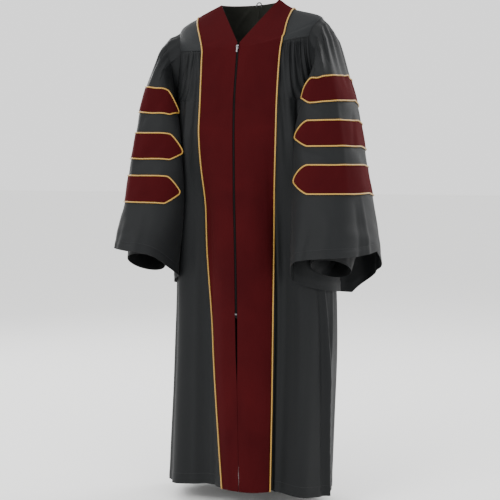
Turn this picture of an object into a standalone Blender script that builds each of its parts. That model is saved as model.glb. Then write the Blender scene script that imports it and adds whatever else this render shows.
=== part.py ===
"""Doctoral graduation gown, hollow and open, in the form it has on a general figure.

Metres, +Z up, front towards -Y, +X to the wearer's left. The origin lies midway
between the two points where the neckline meets the shoulder seams.
"""

import math
from collections import namedtuple

import bpy
import numpy as np

# Driving sizes
CLOTH = 0.0015
VELVET = 0.0020
SEAM = 0.0003
LIFT = 0.0004
CORD_LIFT = 0.0012
CORD_GAP = 0.0026
PIPING_RADIUS = 0.0023
ARMHOLE_TURN = math.radians(15.5)
YOKE_STATIONS = 8
ARMHOLE_STEPS = 4
FACING_STEPS = 3
YOKE_STEPS = 4
PANEL_STEPS = 12
BACK_STEPS = 36
SLEEVE_STEPS = 32
ZIP_GAP = 0.0036
ZIP_TOP = -0.126
ZIP_FOOT = -0.865
PULL_STAND = 0.0022
PULL_HALF = 0.0019
SLIDER_HALF = 0.0033
EAR_X = 0.0027
CHAIN_HALF = 0.0022
CHAIN_FACE = 0.0006
CHAIN_STAND = 0.0007
TAPE_REACH = 0.0100
TAPE_TAIL = 0.0150
TAPE_THICKNESS = 0.0010
PULL_THICK = 0.0012
PULL_LENGTH = 0.0150
EYE_RADIUS = 0.0018
PIN_RADIUS = 0.0007
LOOP_RADIUS = 0.0018
LOOP_HALF = 0.0072
LOOP_RISE = 0.0066
LOOP_TAIL = 0.0140

# The torso is a tube. Each row is a closed ring: its middle, half width, reach to the front
# and the back, the power of its curve (1 is straight sides, 2 an ellipse) and its heights. rise
# is the power that leads from the side's height to the front's and back's, tilt lifts the left side
# and lowers the right, and opening_x is where the front opening lies at x.
Ring = namedtuple(
    "Ring",
    "place centre_x centre_y half_width front back front_power back_power"
    " z_front z_side z_back rise tilt opening_x",
)
TORSO = (
    Ring("neckline", 0, 0, 0.086, 0.09, 0.078, 1, 2, -0.124, 0, 0.004, 1, 0.042, 0),
    Ring("mid shoulder", -0.014, 0, 0.141, 0.0906, 0.108, 1.35, 2.1, -0.127, -0.028, -0.042, 1.3, 0.042,
         0.014),
    Ring("shoulder point", 0, 0, 0.212, 0.0912, 0.122, 1.9, 2.2, -0.13, -0.062, -0.09, 1.6, 0.048, 0),
    Ring("yoke seam", 0, 0, 0.217, 0.092, 0.13, 2.4, 2.4, -0.133, -0.117, -0.134, 3, 0.07, 0),
    Ring("underarm", 0.002, 0, 0.213, 0.123, 0.14, 2.4, 2.3, -0.275, -0.275, -0.275, 2, 0, 0),
    Ring("waist", 0.006, 0.004, 0.224, 0.15, 0.152, 2.3, 2.2, -0.5, -0.5, -0.5, 2, 0, 0.003),
    Ring("hip", 0.014, 0.01, 0.238, 0.163, 0.168, 2.2, 2.1, -0.85, -0.85, -0.85, 2, 0, 0.004),
    Ring("hem", -0.008, 0.012, 0.244, 0.166, 0.176, 2.1, 2.1, -1.356, -1.384, -1.395, 2, 0, 0.034),
)
YOKE_ROW = 3.0
UNDERARM_ROW = 4.0
HEM_ROW = 7.0
BAND_ROW = 1.0
PANEL_ROWS = (4.35, 4.7, 5.0, 5.3, 5.6, 5.9, 6.2, 6.45, 6.7, 7.0)

# Velvet facings: how far across from the centre front their piping lies
Facing = namedtuple("Facing", "row left right")
FACING_SPACING = 0.5
FACINGS = (
    Facing(3.0, 0.121, 0.107),
    Facing(3.5, 0.116, 0.105),
    Facing(4.0, 0.115, 0.102),
    Facing(4.5, 0.114, 0.104),
    Facing(5.0, 0.110, 0.112),
    Facing(5.5, 0.104, 0.112),
    Facing(6.0, 0.099, 0.097),
    Facing(6.5, 0.097, 0.072),
    Facing(7.0, 0.093, 0.051),
)

# Where the facing and the yoke run, from the yoke seam to the shoulder seam: the turn and row
# of the neckline edge, and the half width on each side and the row of the facing's outer edge
Station = namedtuple("Station", "neck_turn neck_row left right facing_row")
STATIONS = (
    Station(0.0, 3.00, 0.121, 0.107, 3.00),
    Station(0.0, 0.00, 0.122, 0.109, 2.60),
    Station(33.0, 0.00, 0.123, 0.113, 2.10),
    Station(62.0, 0.00, 0.129, 0.120, 1.50),
    Station(90.0, 0.00, 0.141, 0.141, 1.00),
)

# Long folds of the skirt: turn at the top and the foot in degrees from the centre front, rows
# they run between, half width in degrees and depth, outwards if positive
Fold = namedtuple("Fold", "name top_turn foot_turn top_row foot_row half_width depth")
FOLDS = (
    Fold("left fold by the facing", 44, 38, 4.5, 7.0, 17, -0.0360),
    Fold("right fold by the facing", -44, -37, 4.4, 7.0, 17, -0.0390),
    Fold("left crease by the facing", 46, 43, 4.9, 7.0, 5, -0.0060),
    Fold("left soft ridge", 62, 60, 4.9, 7.0, 7, 0.0080),
    Fold("left line to the side", 76, 84, 5.6, 7.0, 5, 0.0060),
    Fold("left trough under the yoke", 63, 60, 3.5, 4.6, 5, -0.0080),
    Fold("right soft ridge", -60, -60, 4.7, 7.0, 8, 0.0080),
    Fold("right trough at the side", -74, -76, 5.2, 7.0, 6, -0.0060),
    Fold("left side back ridge", 112, 110, 5.6, 7.0, 8, 0.0080),
    Fold("left back trough", 130, 127, 4.2, 7.0, 7, -0.0100),
    Fold("left back ridge", 147, 144, 3.8, 7.0, 7, 0.0090),
    Fold("left centre back trough", 163, 161, 4.4, 7.0, 6, -0.0080),
    Fold("centre back ridge", 178, 181, 4.0, 7.0, 7, 0.0090),
    Fold("right centre back trough", 196, 199, 4.6, 7.0, 6, -0.0090),
    Fold("right back ridge", 211, 214, 3.9, 7.0, 7, 0.0080),
    Fold("right back trough", 229, 232, 4.3, 7.0, 7, -0.0100),
    Fold("right side back ridge", 247, 249, 5.6, 7.0, 8, 0.0080),
)
FRONT_GATHERS = 6
BACK_GATHERS = 18
GATHER_DEPTH = 0.0034

# Sleeve sections below the armhole, measured on the wearer's left: how far out the outer edge lies
# on each sleeve, how far out the inner edge, the middle, the front and back edge with its height.
# rise lifts the left sleeve and lowers the right; gather and wave are the heights of its ripples.
Section = namedtuple(
    "Section",
    "out_left out_right z_out in_left in_right z_in"
    " x_mid y_mid y_front z_front y_back z_back rise gather wave margin",
)
HEAD = Section(
    0.229, 0.233, -0.084, 0.218, 0.218, -0.284,
    0.213, 0.002, -0.071, -0.155, 0.076, -0.168, 0.010, 0.0022, 0, 0.0022,
)
CAP = Section(
    0.250, 0.256, -0.119, 0.212, 0.212, -0.298,
    0.223, 0.000, -0.096, -0.182, 0.088, -0.194, 0.008, 0.0040, 0, 0.0050,
)
UPPER_TOP = Section(
    0.286, 0.292, -0.222, 0.184, 0.184, -0.324,
    0.234, -0.008, -0.124, -0.234, 0.099, -0.252, 0.008, 0.0014, 0, 0.006,
)
UPPER_FOOT = Section(
    0.308, 0.312, -0.288, 0.166, 0.164, -0.358,
    0.238, -0.016, -0.136, -0.297, 0.103, -0.316, 0.010, 0, 0, 0.006,
)
MIDDLE_TOP = Section(
    0.320, 0.324, -0.351, 0.155, 0.152, -0.400,
    0.240, -0.024, -0.143, -0.353, 0.104, -0.374, 0.014, 0, 0, 0.006,
)
MIDDLE_FOOT = Section(
    0.333, 0.335, -0.418, 0.154, 0.150, -0.452,
    0.243, -0.033, -0.151, -0.418, 0.104, -0.438, 0.016, 0, 0, 0.006,
)
LOWER_TOP = Section(
    0.343, 0.341, -0.471, 0.155, 0.150, -0.498,
    0.247, -0.040, -0.160, -0.471, 0.104, -0.488, 0.015, 0, 0, 0.006,
)
LOWER_FOOT = Section(
    0.358, 0.348, -0.541, 0.157, 0.152, -0.569,
    0.254, -0.050, -0.176, -0.542, 0.106, -0.566, 0.014, 0, 0.0008, 0.006,
)
FLARE = Section(
    0.374, 0.352, -0.609, 0.162, 0.160, -0.645,
    0.262, -0.060, -0.204, -0.618, 0.112, -0.672, 0.006, 0, 0.0022, 0.006,
)
LOW_FLARE = Section(
    0.384, 0.352, -0.648, 0.165, 0.168, -0.715,
    0.266, -0.067, -0.223, -0.656, 0.116, -0.744, 0.001, 0, 0.0032, 0.0085,
)
MOUTH = Section(
    0.388, 0.350, -0.680, 0.168, 0.174, -0.782,
    0.270, -0.075, -0.240, -0.693, 0.118, -0.817, -0.003, 0, 0.0038, 0.0095,
)
SLEEVE = (
    HEAD, CAP, UPPER_TOP, UPPER_FOOT, MIDDLE_TOP, MIDDLE_FOOT, LOWER_TOP, LOWER_FOOT, FLARE, LOW_FLARE, MOUTH
)
SLEEVE_POWER = 2.5
SLEEVE_GATHERS = 16
SLEEVE_WAVES = 5

# Velvet bars: each lies between two sections of the sleeve
BAR_SECTIONS = {"upper": (3, 4), "middle": (5, 6), "lower": (7, 8)}
BAR_FRONT = {"left": 11, "right": 12}
BAR_BACK = 9
BAR_TAPER = (0.32, 0.14, 0.04)
BAR_POINT = 0.8
BAR_TIP_SHARE = 0.44
BAR_LIFT = 0.0006
BAR_CORD_LIFT = 0.0010
TIP_LIFT = 0.0005

# Inner cuff: it leaves the sleeve wall at the foot of the lower bar and ends in a ring
CUFF_SECTION = 8
CUFF_CENTRE = (0.275, -0.112, -0.730)
CUFF_RADIUS = 0.054
CUFF_TILT = math.radians(30)
CUFF_STEPS = 4
CUFF_TOP_GAP = 0.0006
CUFF_CLEARANCE = 0.0165

COLOURS = {
    "black_cloth": ((0.030, 0.034, 0.035), 0.62),
    "velvet": ((0.058, 0.005, 0.006), 0.85),
    "gold_piping": ((0.55, 0.36, 0.10), 0.45),
    "zip_black": ((0.012, 0.012, 0.013), 0.5),
    "zip_metal": ((0.42, 0.42, 0.43), 0.35),
}


def clear_scene():
    for leftover in list(bpy.data.objects):
        bpy.data.objects.remove(leftover)


def column(table, name, row):
    """Values of one column at fractional rows, on a curve that never overshoots its rows."""
    values = np.array([getattr(entry, name) for entry in table], float)
    steps = np.diff(values)
    inner = np.zeros(len(steps) - 1)
    same_way = steps[:-1] * steps[1:] > 0
    inner[same_way] = 2 / (1 / steps[:-1][same_way] + 1 / steps[1:][same_way])
    slopes = np.concatenate([steps[:1], inner, steps[-1:]])
    row = np.clip(np.asarray(row, float), 0, len(values) - 1)
    low = np.minimum(row.astype(int), len(values) - 2)
    t = row - low
    start = (2 * t**3 - 3 * t**2 + 1) * values[low] + (t**3 - 2 * t**2 + t) * slopes[low]
    end = (3 * t**2 - 2 * t**3) * values[low + 1] + (t**3 - t**2) * slopes[low + 1]
    return start + end


def torso(turn, row):
    """Points on the plain torso. turn is the angle from the centre front to the wearer's left."""
    turn, row = np.broadcast_arrays(np.asarray(turn, float), np.asarray(row, float))
    across, along = np.sin(turn), np.cos(turn)
    in_front = along >= 0
    depth = np.where(in_front, column(TORSO, "front", row), column(TORSO, "back", row))
    power = np.where(in_front, column(TORSO, "front_power", row), column(TORSO, "back_power", row))
    half_width = column(TORSO, "half_width", row)
    reach = ((np.abs(across) / half_width) ** power + (np.abs(along) / depth) ** power) ** (-1 / power)
    lean = (reach * np.abs(along) / depth) ** column(TORSO, "rise", row)
    z_side = column(TORSO, "z_side", row)
    z_end = np.where(in_front, column(TORSO, "z_front", row), column(TORSO, "z_back", row))
    drift = column(TORSO, "opening_x", row) * np.maximum(along, 0) ** 2
    x = column(TORSO, "centre_x", row) + drift + reach * across
    y = column(TORSO, "centre_y", row) - reach * along
    raised = column(TORSO, "tilt", row) * x
    return np.stack([x, y, z_side + (z_end - z_side) * lean + raised], -1)


def unit(vectors):
    length = np.linalg.norm(vectors, axis=-1, keepdims=True)
    return vectors / np.maximum(length, 1e-12)


def torso_normal(turn, row):
    step = 2e-3
    turn, row = np.broadcast_arrays(np.asarray(turn, float), np.asarray(row, float))
    across = torso(turn + step, row) - torso(turn - step, row)
    down = torso(turn, np.minimum(row + step, HEM_ROW)) - torso(turn, np.maximum(row - step, 0))
    return unit(np.cross(down, across))


def fold_depth(turn, row):
    """How far the long folds stand out from the plain torso."""
    degrees = np.degrees(turn)
    total = np.zeros(np.broadcast(degrees, row).shape)
    for fold in FOLDS:
        share = np.clip((row - fold.top_row) / (fold.foot_row - fold.top_row), 0, 1)
        middle = fold.top_turn + (fold.foot_turn - fold.top_turn) * share
        off = (degrees - middle + 180) % 360 - 180
        grow = np.clip((row - fold.top_row) / 0.9, 0, 1)
        fade = 1.0 if fold.foot_row >= HEM_ROW else np.clip((fold.foot_row - row) / 0.5, 0, 1)
        strength = fold.depth * grow * grow * (3 - 2 * grow) * fade
        total = total + strength * np.exp(-((off / fold.half_width) ** 2))
    return total


def gather_depth(share, row, count):
    """Gathers that leave the yoke seam flat, stand out below it and fade towards the waist."""
    rise = np.clip((row - YOKE_ROW) / 0.38, 0, 1)
    fade = np.clip((5.4 - row) / 2.0, 0, 1)
    ends = np.clip(np.minimum(share, 1 - share) * 8, 0, 1)
    return GATHER_DEPTH * np.cos(2 * math.pi * count * share) * rise * fade * ends


def armhole(angle, side):
    """Turn and row on the torso of a point of the armhole: 0 is its top, 90 degrees its front."""
    row = UNDERARM_ROW - 1 - np.cos(angle)
    turn = math.pi / 2 - ARMHOLE_TURN * np.sin(angle) * (1 - 0.25 * np.cos(angle))
    return side * turn, row


def turn_for_width(width, row):
    """Turn at which the front lies this far across from its centre line."""
    low = np.zeros_like(np.asarray(row, float))
    high = np.full_like(low, math.radians(88))
    for _ in range(40):
        middle = (low + high) / 2
        place = torso(middle, row)[..., 0] - torso(0.0, row)[..., 0]
        drift = column(TORSO, "opening_x", row) * (1 - np.cos(middle) ** 2)
        nearer = place + drift < width
        low = np.where(nearer, middle, low)
        high = np.where(nearer, high, middle)
    return low


def spread(start, end, steps):
    """Values from start to end in equal steps, one row for each entry."""
    shares = np.linspace(0, 1, steps + 1)
    return np.asarray(start)[:, None] * (1 - shares) + np.asarray(end)[:, None] * shares


def opening_gap(row):
    """Half the gap between the front edges: open along the zip, then almost closed to the hem."""
    rows = (3.0, 6.05, 6.3, 6.45, 6.75, 7.0)
    return np.interp(row, rows, (ZIP_GAP, ZIP_GAP, 0.0025, 0.0004, 0.0004, 0.0016))


def front_grid(side, yoke):
    """Turns and rows of a front yoke, top down, or of the gathered front below it."""
    name = "left" if side > 0 else "right"
    if yoke:
        stations = np.linspace(len(STATIONS) - 1, 0, YOKE_STATIONS + 1)
        neck_row = column(STATIONS, "neck_row", stations)
        neck_turn = np.radians(column(STATIONS, "neck_turn", stations))
        edge_row = column(STATIONS, "facing_row", stations)
        edge_turn = turn_for_width(column(STATIONS, name, stations), edge_row)
        edge_turn[0] = math.pi / 2
        angles = np.linspace(0, math.pi / 2, YOKE_STATIONS + 1)
        steps = YOKE_STEPS
    else:
        angles = np.linspace(math.pi / 2, math.pi, ARMHOLE_STEPS + 1)
        lower = np.array(PANEL_ROWS)
        edge_row = np.concatenate([armhole(angles, 1)[1], lower])
        neck_row, neck_turn = edge_row, np.zeros_like(edge_row)
        widths = column(FACINGS, name, (edge_row - YOKE_ROW) / FACING_SPACING)
        edge_turn = turn_for_width(widths, edge_row)
        steps = PANEL_STEPS
    outer_turn, outer_row = armhole(angles, 1)
    if not yoke:
        outer_turn = np.concatenate([outer_turn, np.full(len(PANEL_ROWS), math.pi / 2)])
        outer_row = edge_row
    neck_turn = neck_turn + opening_gap(neck_row) / column(TORSO, "front", neck_row) * np.cos(neck_turn)
    turns = np.concatenate(
        [spread(neck_turn, edge_turn, FACING_STEPS), spread(edge_turn, outer_turn, steps)[:, 1:]], 1
    )
    rows = np.concatenate(
        [spread(neck_row, edge_row, FACING_STEPS), spread(edge_row, outer_row, steps)[:, 1:]], 1
    )
    return side * turns, rows


def back_yoke_grid():
    """Turns and rows of the back yoke: from the neckline down, from the left shoulder to the right."""
    angles = np.linspace(0, -math.pi / 2, YOKE_STATIONS + 1)
    outer_turn, outer_row = armhole(angles, 1)
    level = np.linspace(outer_turn[-1], math.pi, 6)[1:]
    turns = np.concatenate([outer_turn, level])
    feet = np.concatenate([outer_row, np.full(5, YOKE_ROW)])
    turns = np.concatenate([turns, (2 * math.pi - turns)[-2::-1]])
    feet = np.concatenate([feet, feet[-2::-1]])
    rows = np.concatenate(
        [
            spread(np.zeros(len(turns)), np.full(len(turns), BAND_ROW), FACING_STEPS - 1),
            spread(np.full(len(turns), BAND_ROW), feet, YOKE_STEPS)[:, 1:],
        ],
        1,
    )
    return np.repeat(turns[:, None], rows.shape[1], 1), rows


def back_grid():
    """Turns and rows of the gathered back, top down, from the left side to the right."""
    angles = np.linspace(-math.pi / 2, -math.pi, ARMHOLE_STEPS + 1)
    edge_turn, edge_row = armhole(angles, 1)
    rows = np.concatenate([edge_row, PANEL_ROWS])
    edge_turn = np.concatenate([edge_turn, np.full(len(PANEL_ROWS), math.pi / 2)])
    turns = spread(edge_turn, 2 * math.pi - edge_turn, BACK_STEPS)
    return turns, np.repeat(rows[:, None], turns.shape[1], 1)


def trimmed(points, sides, gap=SEAM):
    """The grid with its edges on the named sides drawn back by half a seam gap."""
    points = points.copy()
    pairs = {"top": (0, 1), "foot": (-1, -2)}
    for name, (edge, inside) in pairs.items():
        if name in sides:
            points[edge] += unit(points[inside] - points[edge]) * gap / 2
    pairs = {"start": (0, 1), "end": (-1, -2)}
    for name, (edge, inside) in pairs.items():
        if name in sides:
            points[:, edge] += unit(points[:, inside] - points[:, edge]) * gap / 2
    return points


def material(name):
    colour, roughness = COLOURS[name]
    made = bpy.data.materials.get(name)
    if made is None:
        made = bpy.data.materials.new(name)
        made.use_nodes = True
        shader = made.node_tree.nodes["Principled BSDF"]
        shader.inputs["Base Color"].default_value = (*colour, 1)
        shader.inputs["Roughness"].default_value = roughness
        shader.inputs["Metallic"].default_value = 1.0 if name == "zip_metal" else 0.0
    return made


def add_piece(name, points, faces, finish):
    """One closed solid, its faces turned outwards."""
    points = np.asarray(points, float).reshape(-1, 3)
    faces = np.asarray(faces)
    corners = points[faces]
    volume = np.einsum("ij,ij->i", corners[:, 0], np.cross(corners[:, 1], corners[:, 2])).sum()
    if volume < 0:
        faces = faces[:, ::-1]
    mesh = bpy.data.meshes.new(name)
    mesh.from_pydata(points.tolist(), [], faces.tolist())
    mesh.materials.append(material(finish))
    mesh.shade_smooth()
    mesh.set_sharp_from_angle(angle=math.radians(40))
    piece = bpy.data.objects.new(name, mesh)
    bpy.context.scene.collection.objects.link(piece)
    return piece


def sheet_faces(rows, columns, closed):
    """Two triangles for each cell of a grid of points."""
    faces = []
    for row in range(rows - 1):
        for start in range(columns if closed else columns - 1):
            end = (start + 1) % columns
            a, b = row * columns + start, row * columns + end
            c, d = a + columns, b + columns
            faces += [(a, c, d), (a, d, b)]
    return faces


def wall(name, lower, upper, finish, closed=False):
    """The solid between two grids of points. A closed grid is a tube, open at both ends."""
    rows, columns = lower.shape[:2]
    half = rows * columns
    top = sheet_faces(rows, columns, closed)
    faces = top + [(c + half, b + half, a + half) for a, b, c in top]
    last = (rows - 1) * columns
    around = [(i, (i + 1) % columns) for i in range(columns if closed else columns - 1)]
    edges = around + [(last + end, last + start) for start, end in around]
    if not closed:
        edges += [((i + 1) * columns, i * columns) for i in range(rows - 1)]
        edges += [(i * columns + columns - 1, (i + 1) * columns + columns - 1) for i in range(rows - 1)]
    for start, end in edges:
        faces += [(start, end, end + half), (start, end + half, start + half)]
    return add_piece(name, np.concatenate([upper.reshape(-1, 3), lower.reshape(-1, 3)]), faces, finish)


def cloth_wall(name, points, normals, finish="black_cloth", closed=False):
    return wall(name, points - normals * CLOTH, points, finish, closed)


def laid_on(name, points, normals, lift=LIFT):
    """A velvet piece made from the points of the panel under it, moved out."""
    return wall(name, points + normals * lift, points + normals * (lift + VELVET), "velvet")


def cord(name, path, outwards, normals, closed, lift, sides=4):
    """Piping that lies on the panel just outside an edge. outwards points away from that edge."""
    seat = PIPING_RADIUS + SEAM
    centres = path + outwards * seat + unit(normals) * (PIPING_RADIUS + lift)
    along = np.roll(centres, -1, 0) - np.roll(centres, 1, 0)
    if not closed:
        along[0] = centres[1] - centres[0]
        along[-1] = centres[-1] - centres[-2]
    along = unit(along)
    up = unit(normals - along * (normals * along).sum(-1, keepdims=True))
    aside = np.cross(along, up)
    turns = np.linspace(0, 2 * math.pi, sides, endpoint=False)
    rings = centres[:, None] + PIPING_RADIUS * (
        aside[:, None] * np.cos(turns)[None, :, None] + up[:, None] * np.sin(turns)[None, :, None]
    )
    count = len(centres)
    faces = []
    for ring in range(count if closed else count - 1):
        after = (ring + 1) % count
        for start in range(sides):
            end = (start + 1) % sides
            a, b = ring * sides + start, ring * sides + end
            c, d = after * sides + start, after * sides + end
            faces += [(a, b, d), (a, d, c)]
    if not closed:
        for start in range(1, sides - 1):
            last = (count - 1) * sides
            faces += [(0, start + 1, start), (last, last + start, last + start + 1)]
    return add_piece(name, rings, faces, "gold_piping")


def body_panels():
    """Front yokes, gathered fronts, back yoke, gathered back, facings, neck band and their piping."""
    for label, side in (("left", 1), ("right", -1)):
        turns, rows = front_grid(side, yoke=True)
        yoke, yoke_normals = torso(turns, rows), torso_normal(turns, rows)
        cloth_wall(f"front_yoke_{label}", trimmed(yoke, ("top", "foot")), yoke_normals)

        turns, rows = front_grid(side, yoke=False)
        normals = torso_normal(turns, rows)
        share = np.zeros_like(turns)
        share[:, FACING_STEPS:] = np.linspace(0, 1, PANEL_STEPS + 1)
        depth = fold_depth(turns, rows) + gather_depth(share, rows, FRONT_GATHERS)
        panel = torso(turns, rows) + normals * depth[..., None]
        cloth_wall(f"front_panel_{label}", trimmed(panel, ("top", "end")), normals)

        under = slice(0, FACING_STEPS + 1)
        strip = np.concatenate([yoke[:-1, under], panel[:, under]])
        strip_normals = np.concatenate([yoke_normals[:-1, under], normals[:, under]])
        laid_on(f"velvet_facing_{label}", trimmed(strip, ("top",)), strip_normals)

        whole_edge = strip[:, -1]
        beyond = np.concatenate([yoke[:-1, FACING_STEPS + 1], panel[:, FACING_STEPS + 1]])
        cord(
            f"facing_piping_{label}",
            trimmed(whole_edge[:, None], ("top",), CORD_GAP)[:, 0],
            square_to(whole_edge, beyond - whole_edge, strip_normals[:, -1]),
            strip_normals[:, -1],
            closed=False,
            lift=CORD_LIFT,
            sides=6,
        )

    turns, rows = back_yoke_grid()
    points, normals = torso(turns, rows), torso_normal(turns, rows)
    cloth_wall("back_yoke", trimmed(points, ("top", "foot", "end")), normals)
    band = slice(0, FACING_STEPS)
    laid_on("velvet_neck_band", trimmed(points[:, band], ("top", "foot")), normals[:, band])
    edge = FACING_STEPS - 1
    cord(
        "neck_band_piping",
        trimmed(points[:, edge : edge + 1], ("top", "foot"), CORD_GAP)[:, 0],
        square_to(points[:, edge], points[:, edge + 1] - points[:, edge], normals[:, edge]),
        normals[:, edge],
        closed=False,
        lift=CORD_LIFT,
        sides=6,
    )

    turns, rows = back_grid()
    normals = torso_normal(turns, rows)
    share = np.repeat(np.linspace(0, 1, BACK_STEPS + 1)[None], len(turns), 0)
    depth = fold_depth(turns, rows) + gather_depth(share, rows, BACK_GATHERS)
    points = torso(turns, rows) + normals * depth[..., None]
    cloth_wall("back_panel", trimmed(points, ("top", "start", "end")), normals)


def clear_of_body(points, margin):
    """Sleeve points moved out so that they lie against the body and never in it."""
    heights = column(TORSO, "z_side", np.linspace(UNDERARM_ROW, HEM_ROW, 200))
    row = np.interp(-points[..., 2], -heights, np.linspace(UNDERARM_ROW, HEM_ROW, 200))
    middle = np.stack([column(TORSO, "centre_x", row), column(TORSO, "centre_y", row)], -1)
    away = points[..., :2] - middle
    turn = np.arctan2(away[..., 0], -away[..., 1])
    surface = torso(turn, row) + torso_normal(turn, row) * fold_depth(turn, row)[..., None]
    body = np.linalg.norm(surface[..., :2] - middle, axis=-1)
    reach = np.linalg.norm(away, axis=-1)
    soft = 0.004
    need = body + margin
    pushed = need + soft * np.logaddexp(0, (reach - need) / soft)
    moved = points.copy()
    moved[..., :2] = middle + away * (pushed / reach)[..., None]
    return moved


def armhole_ring(side):
    """The armhole edge at the sleeve's columns: on the straight edges between its corners."""
    corners = np.linspace(0, 2 * math.pi, SLEEVE_STEPS, endpoint=False)
    turn, row = armhole(corners, side)
    ring = torso(turn, row)
    quarter = SLEEVE_STEPS // 4
    between = np.arange(quarter + 1, 3 * quarter, 2)
    ring[between] = (ring[between - 1] + ring[between + 1]) / 2
    middle = ring.mean(0)
    return ring + unit(middle - ring) * (SEAM + 0.0003)


def sleeve_grid(side):
    """Outer points and normals of a sleeve, a row for each section and a column for each turn."""
    label = "left" if side > 0 else "right"
    angles = np.linspace(0, 2 * math.pi, SLEEVE_STEPS, endpoint=False)
    cosine, sine = np.cos(angles), np.sin(angles)
    square = 2 / SLEEVE_POWER
    out_share = np.maximum(cosine, 0) ** square
    in_share = np.maximum(-cosine, 0) ** square
    front_share = np.maximum(sine, 0) ** square
    back_share = np.maximum(-sine, 0) ** square
    rings = []
    bumps = [np.zeros(SLEEVE_STEPS)]
    crowded = np.maximum(out_share + in_share + front_share + back_share, 1)
    for number, entry in enumerate(SLEEVE):
        centre = np.array([entry.x_mid, entry.y_mid, (entry.z_front + entry.z_back) / 2])
        out = np.array([getattr(entry, f"out_{label}"), entry.y_mid, entry.z_out])
        inwards = np.array([getattr(entry, f"in_{label}"), entry.y_mid, centre[2]])
        front = np.array([entry.x_mid, entry.y_front, entry.z_front])
        back = np.array([entry.x_mid, entry.y_back, entry.z_back])
        ring = centre + sum(
            amount[:, None] * (end - centre)
            for amount, end in (
                (out_share, out), (in_share, inwards), (front_share, front), (back_share, back)
            )
        )
        level = (ring[:, 2] - centre[2]) / crowded ** (min(max(number - 1, 0), 1) * (cosine > 0))
        droop = (entry.z_in - centre[2]) * np.maximum(-cosine, 0) ** 4
        ring[:, 2] = centre[2] + level + droop + side * entry.rise
        ring[:, 0] *= side
        rings.append(clear_of_body(ring, entry.margin))
        gathers = entry.gather * np.cos(SLEEVE_GATHERS * angles) * np.clip(0.3 + cosine, 0, 1)
        waves = entry.wave * np.cos(SLEEVE_WAVES * angles + 0.8) * np.clip(0.6 + cosine, 0, 1)
        bumps.append(gathers + waves)
    smooth = np.stack([armhole_ring(side)] + rings)
    around = np.roll(smooth, -1, 1) - np.roll(smooth, 1, 1)
    down = np.concatenate([smooth[1:2] - smooth[:1], smooth[2:] - smooth[:-2], smooth[-1:] - smooth[-2:-1]])
    normals = unit(np.cross(around, down)) * side
    if (normals[4, 0, 0] > 0) != (side > 0):
        normals = -normals
    return smooth + normals * np.array(bumps)[..., None], normals


def on_cell(grid, rows, stop, share):
    """A point on the flat triangles of a grid, between two columns and this far down a cell."""
    first = math.floor(stop)
    part = stop - first
    a, b = (grid[rows[0], number % SLEEVE_STEPS] for number in (first, first + 1))
    c, d = (grid[rows[1], number % SLEEVE_STEPS] for number in (first, first + 1))
    if share >= part:
        return a + share * (c - a) + part * (d - c)
    return a + part * (b - a) + share * (d - b)


def bar_outline(points, normals, rows, reach):
    """Grids of a bar's upper and lower edge, from its back point round the sleeve to its front point."""
    level = BAR_BACK + reach + 1 - 2 * len(BAR_TAPER)
    stops = [-BAR_BACK - BAR_POINT, *range(-BAR_BACK, reach + 1), reach + BAR_POINT]
    shares = [BAR_TIP_SHARE, *BAR_TAPER, *[0.0] * level, *BAR_TAPER[::-1], BAR_TIP_SHARE]
    edges = []
    for grid in (points, normals):
        upper = [on_cell(grid, rows, stop, share) for stop, share in zip(stops, shares)]
        lower = [on_cell(grid, rows, stop, 1 - share) for stop, share in zip(stops, shares)]
        edges.append(np.array([upper, lower]))
    outline, outwards = edges[0], unit(edges[1])
    tips = [0, 1, -2, -1]
    outline[:, tips] += outwards[:, tips] * TIP_LIFT
    return outline, outwards


def square_to(path, aside, normals):
    """The part of each direction that is square to the path and to the panel's normals."""
    level = aside - normals * (aside * normals).sum(-1, keepdims=True)
    along = unit(np.gradient(path, axis=0))
    return unit(level - along * (level * along).sum(-1, keepdims=True))


def mitred(path, normals):
    """Directions away from a closed outline, longer at its corners so that the gap stays even."""
    ahead = unit(np.roll(path, -1, 0) - path)
    behind = np.roll(ahead, 1, 0)
    first, second = np.cross(normals, ahead), np.cross(normals, behind)
    both = unit(first + second)
    stretch = 1 / np.maximum((both * first).sum(-1, keepdims=True), 0.5)
    middle = path.mean(0)
    if ((path - middle) * both).sum() < 0:
        both = -both
    return both * stretch


def sleeves():
    """Bell sleeves with gathered heads, their velvet bars with piping, and their inner cuffs."""
    for label, side in (("left", 1), ("right", -1)):
        points, normals = sleeve_grid(side)
        cloth_wall(f"sleeve_{label}", points, normals, closed=True)
        for place, rows in BAR_SECTIONS.items():
            bar, bar_normals = bar_outline(points, normals, rows, BAR_FRONT[label])
            laid_on(f"bar_{place}_{label}", bar, bar_normals, BAR_LIFT)
            loop = np.concatenate([bar[0], bar[1][::-1]])
            loop_normals = np.concatenate([bar_normals[0], bar_normals[1][::-1]])
            across = mitred(loop, loop_normals)
            cord(f"bar_piping_{place}_{label}", loop, across, loop_normals, True, BAR_CORD_LIFT)
        inner_cuff(label, side, points[CUFF_SECTION], normals[CUFF_SECTION])


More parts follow.
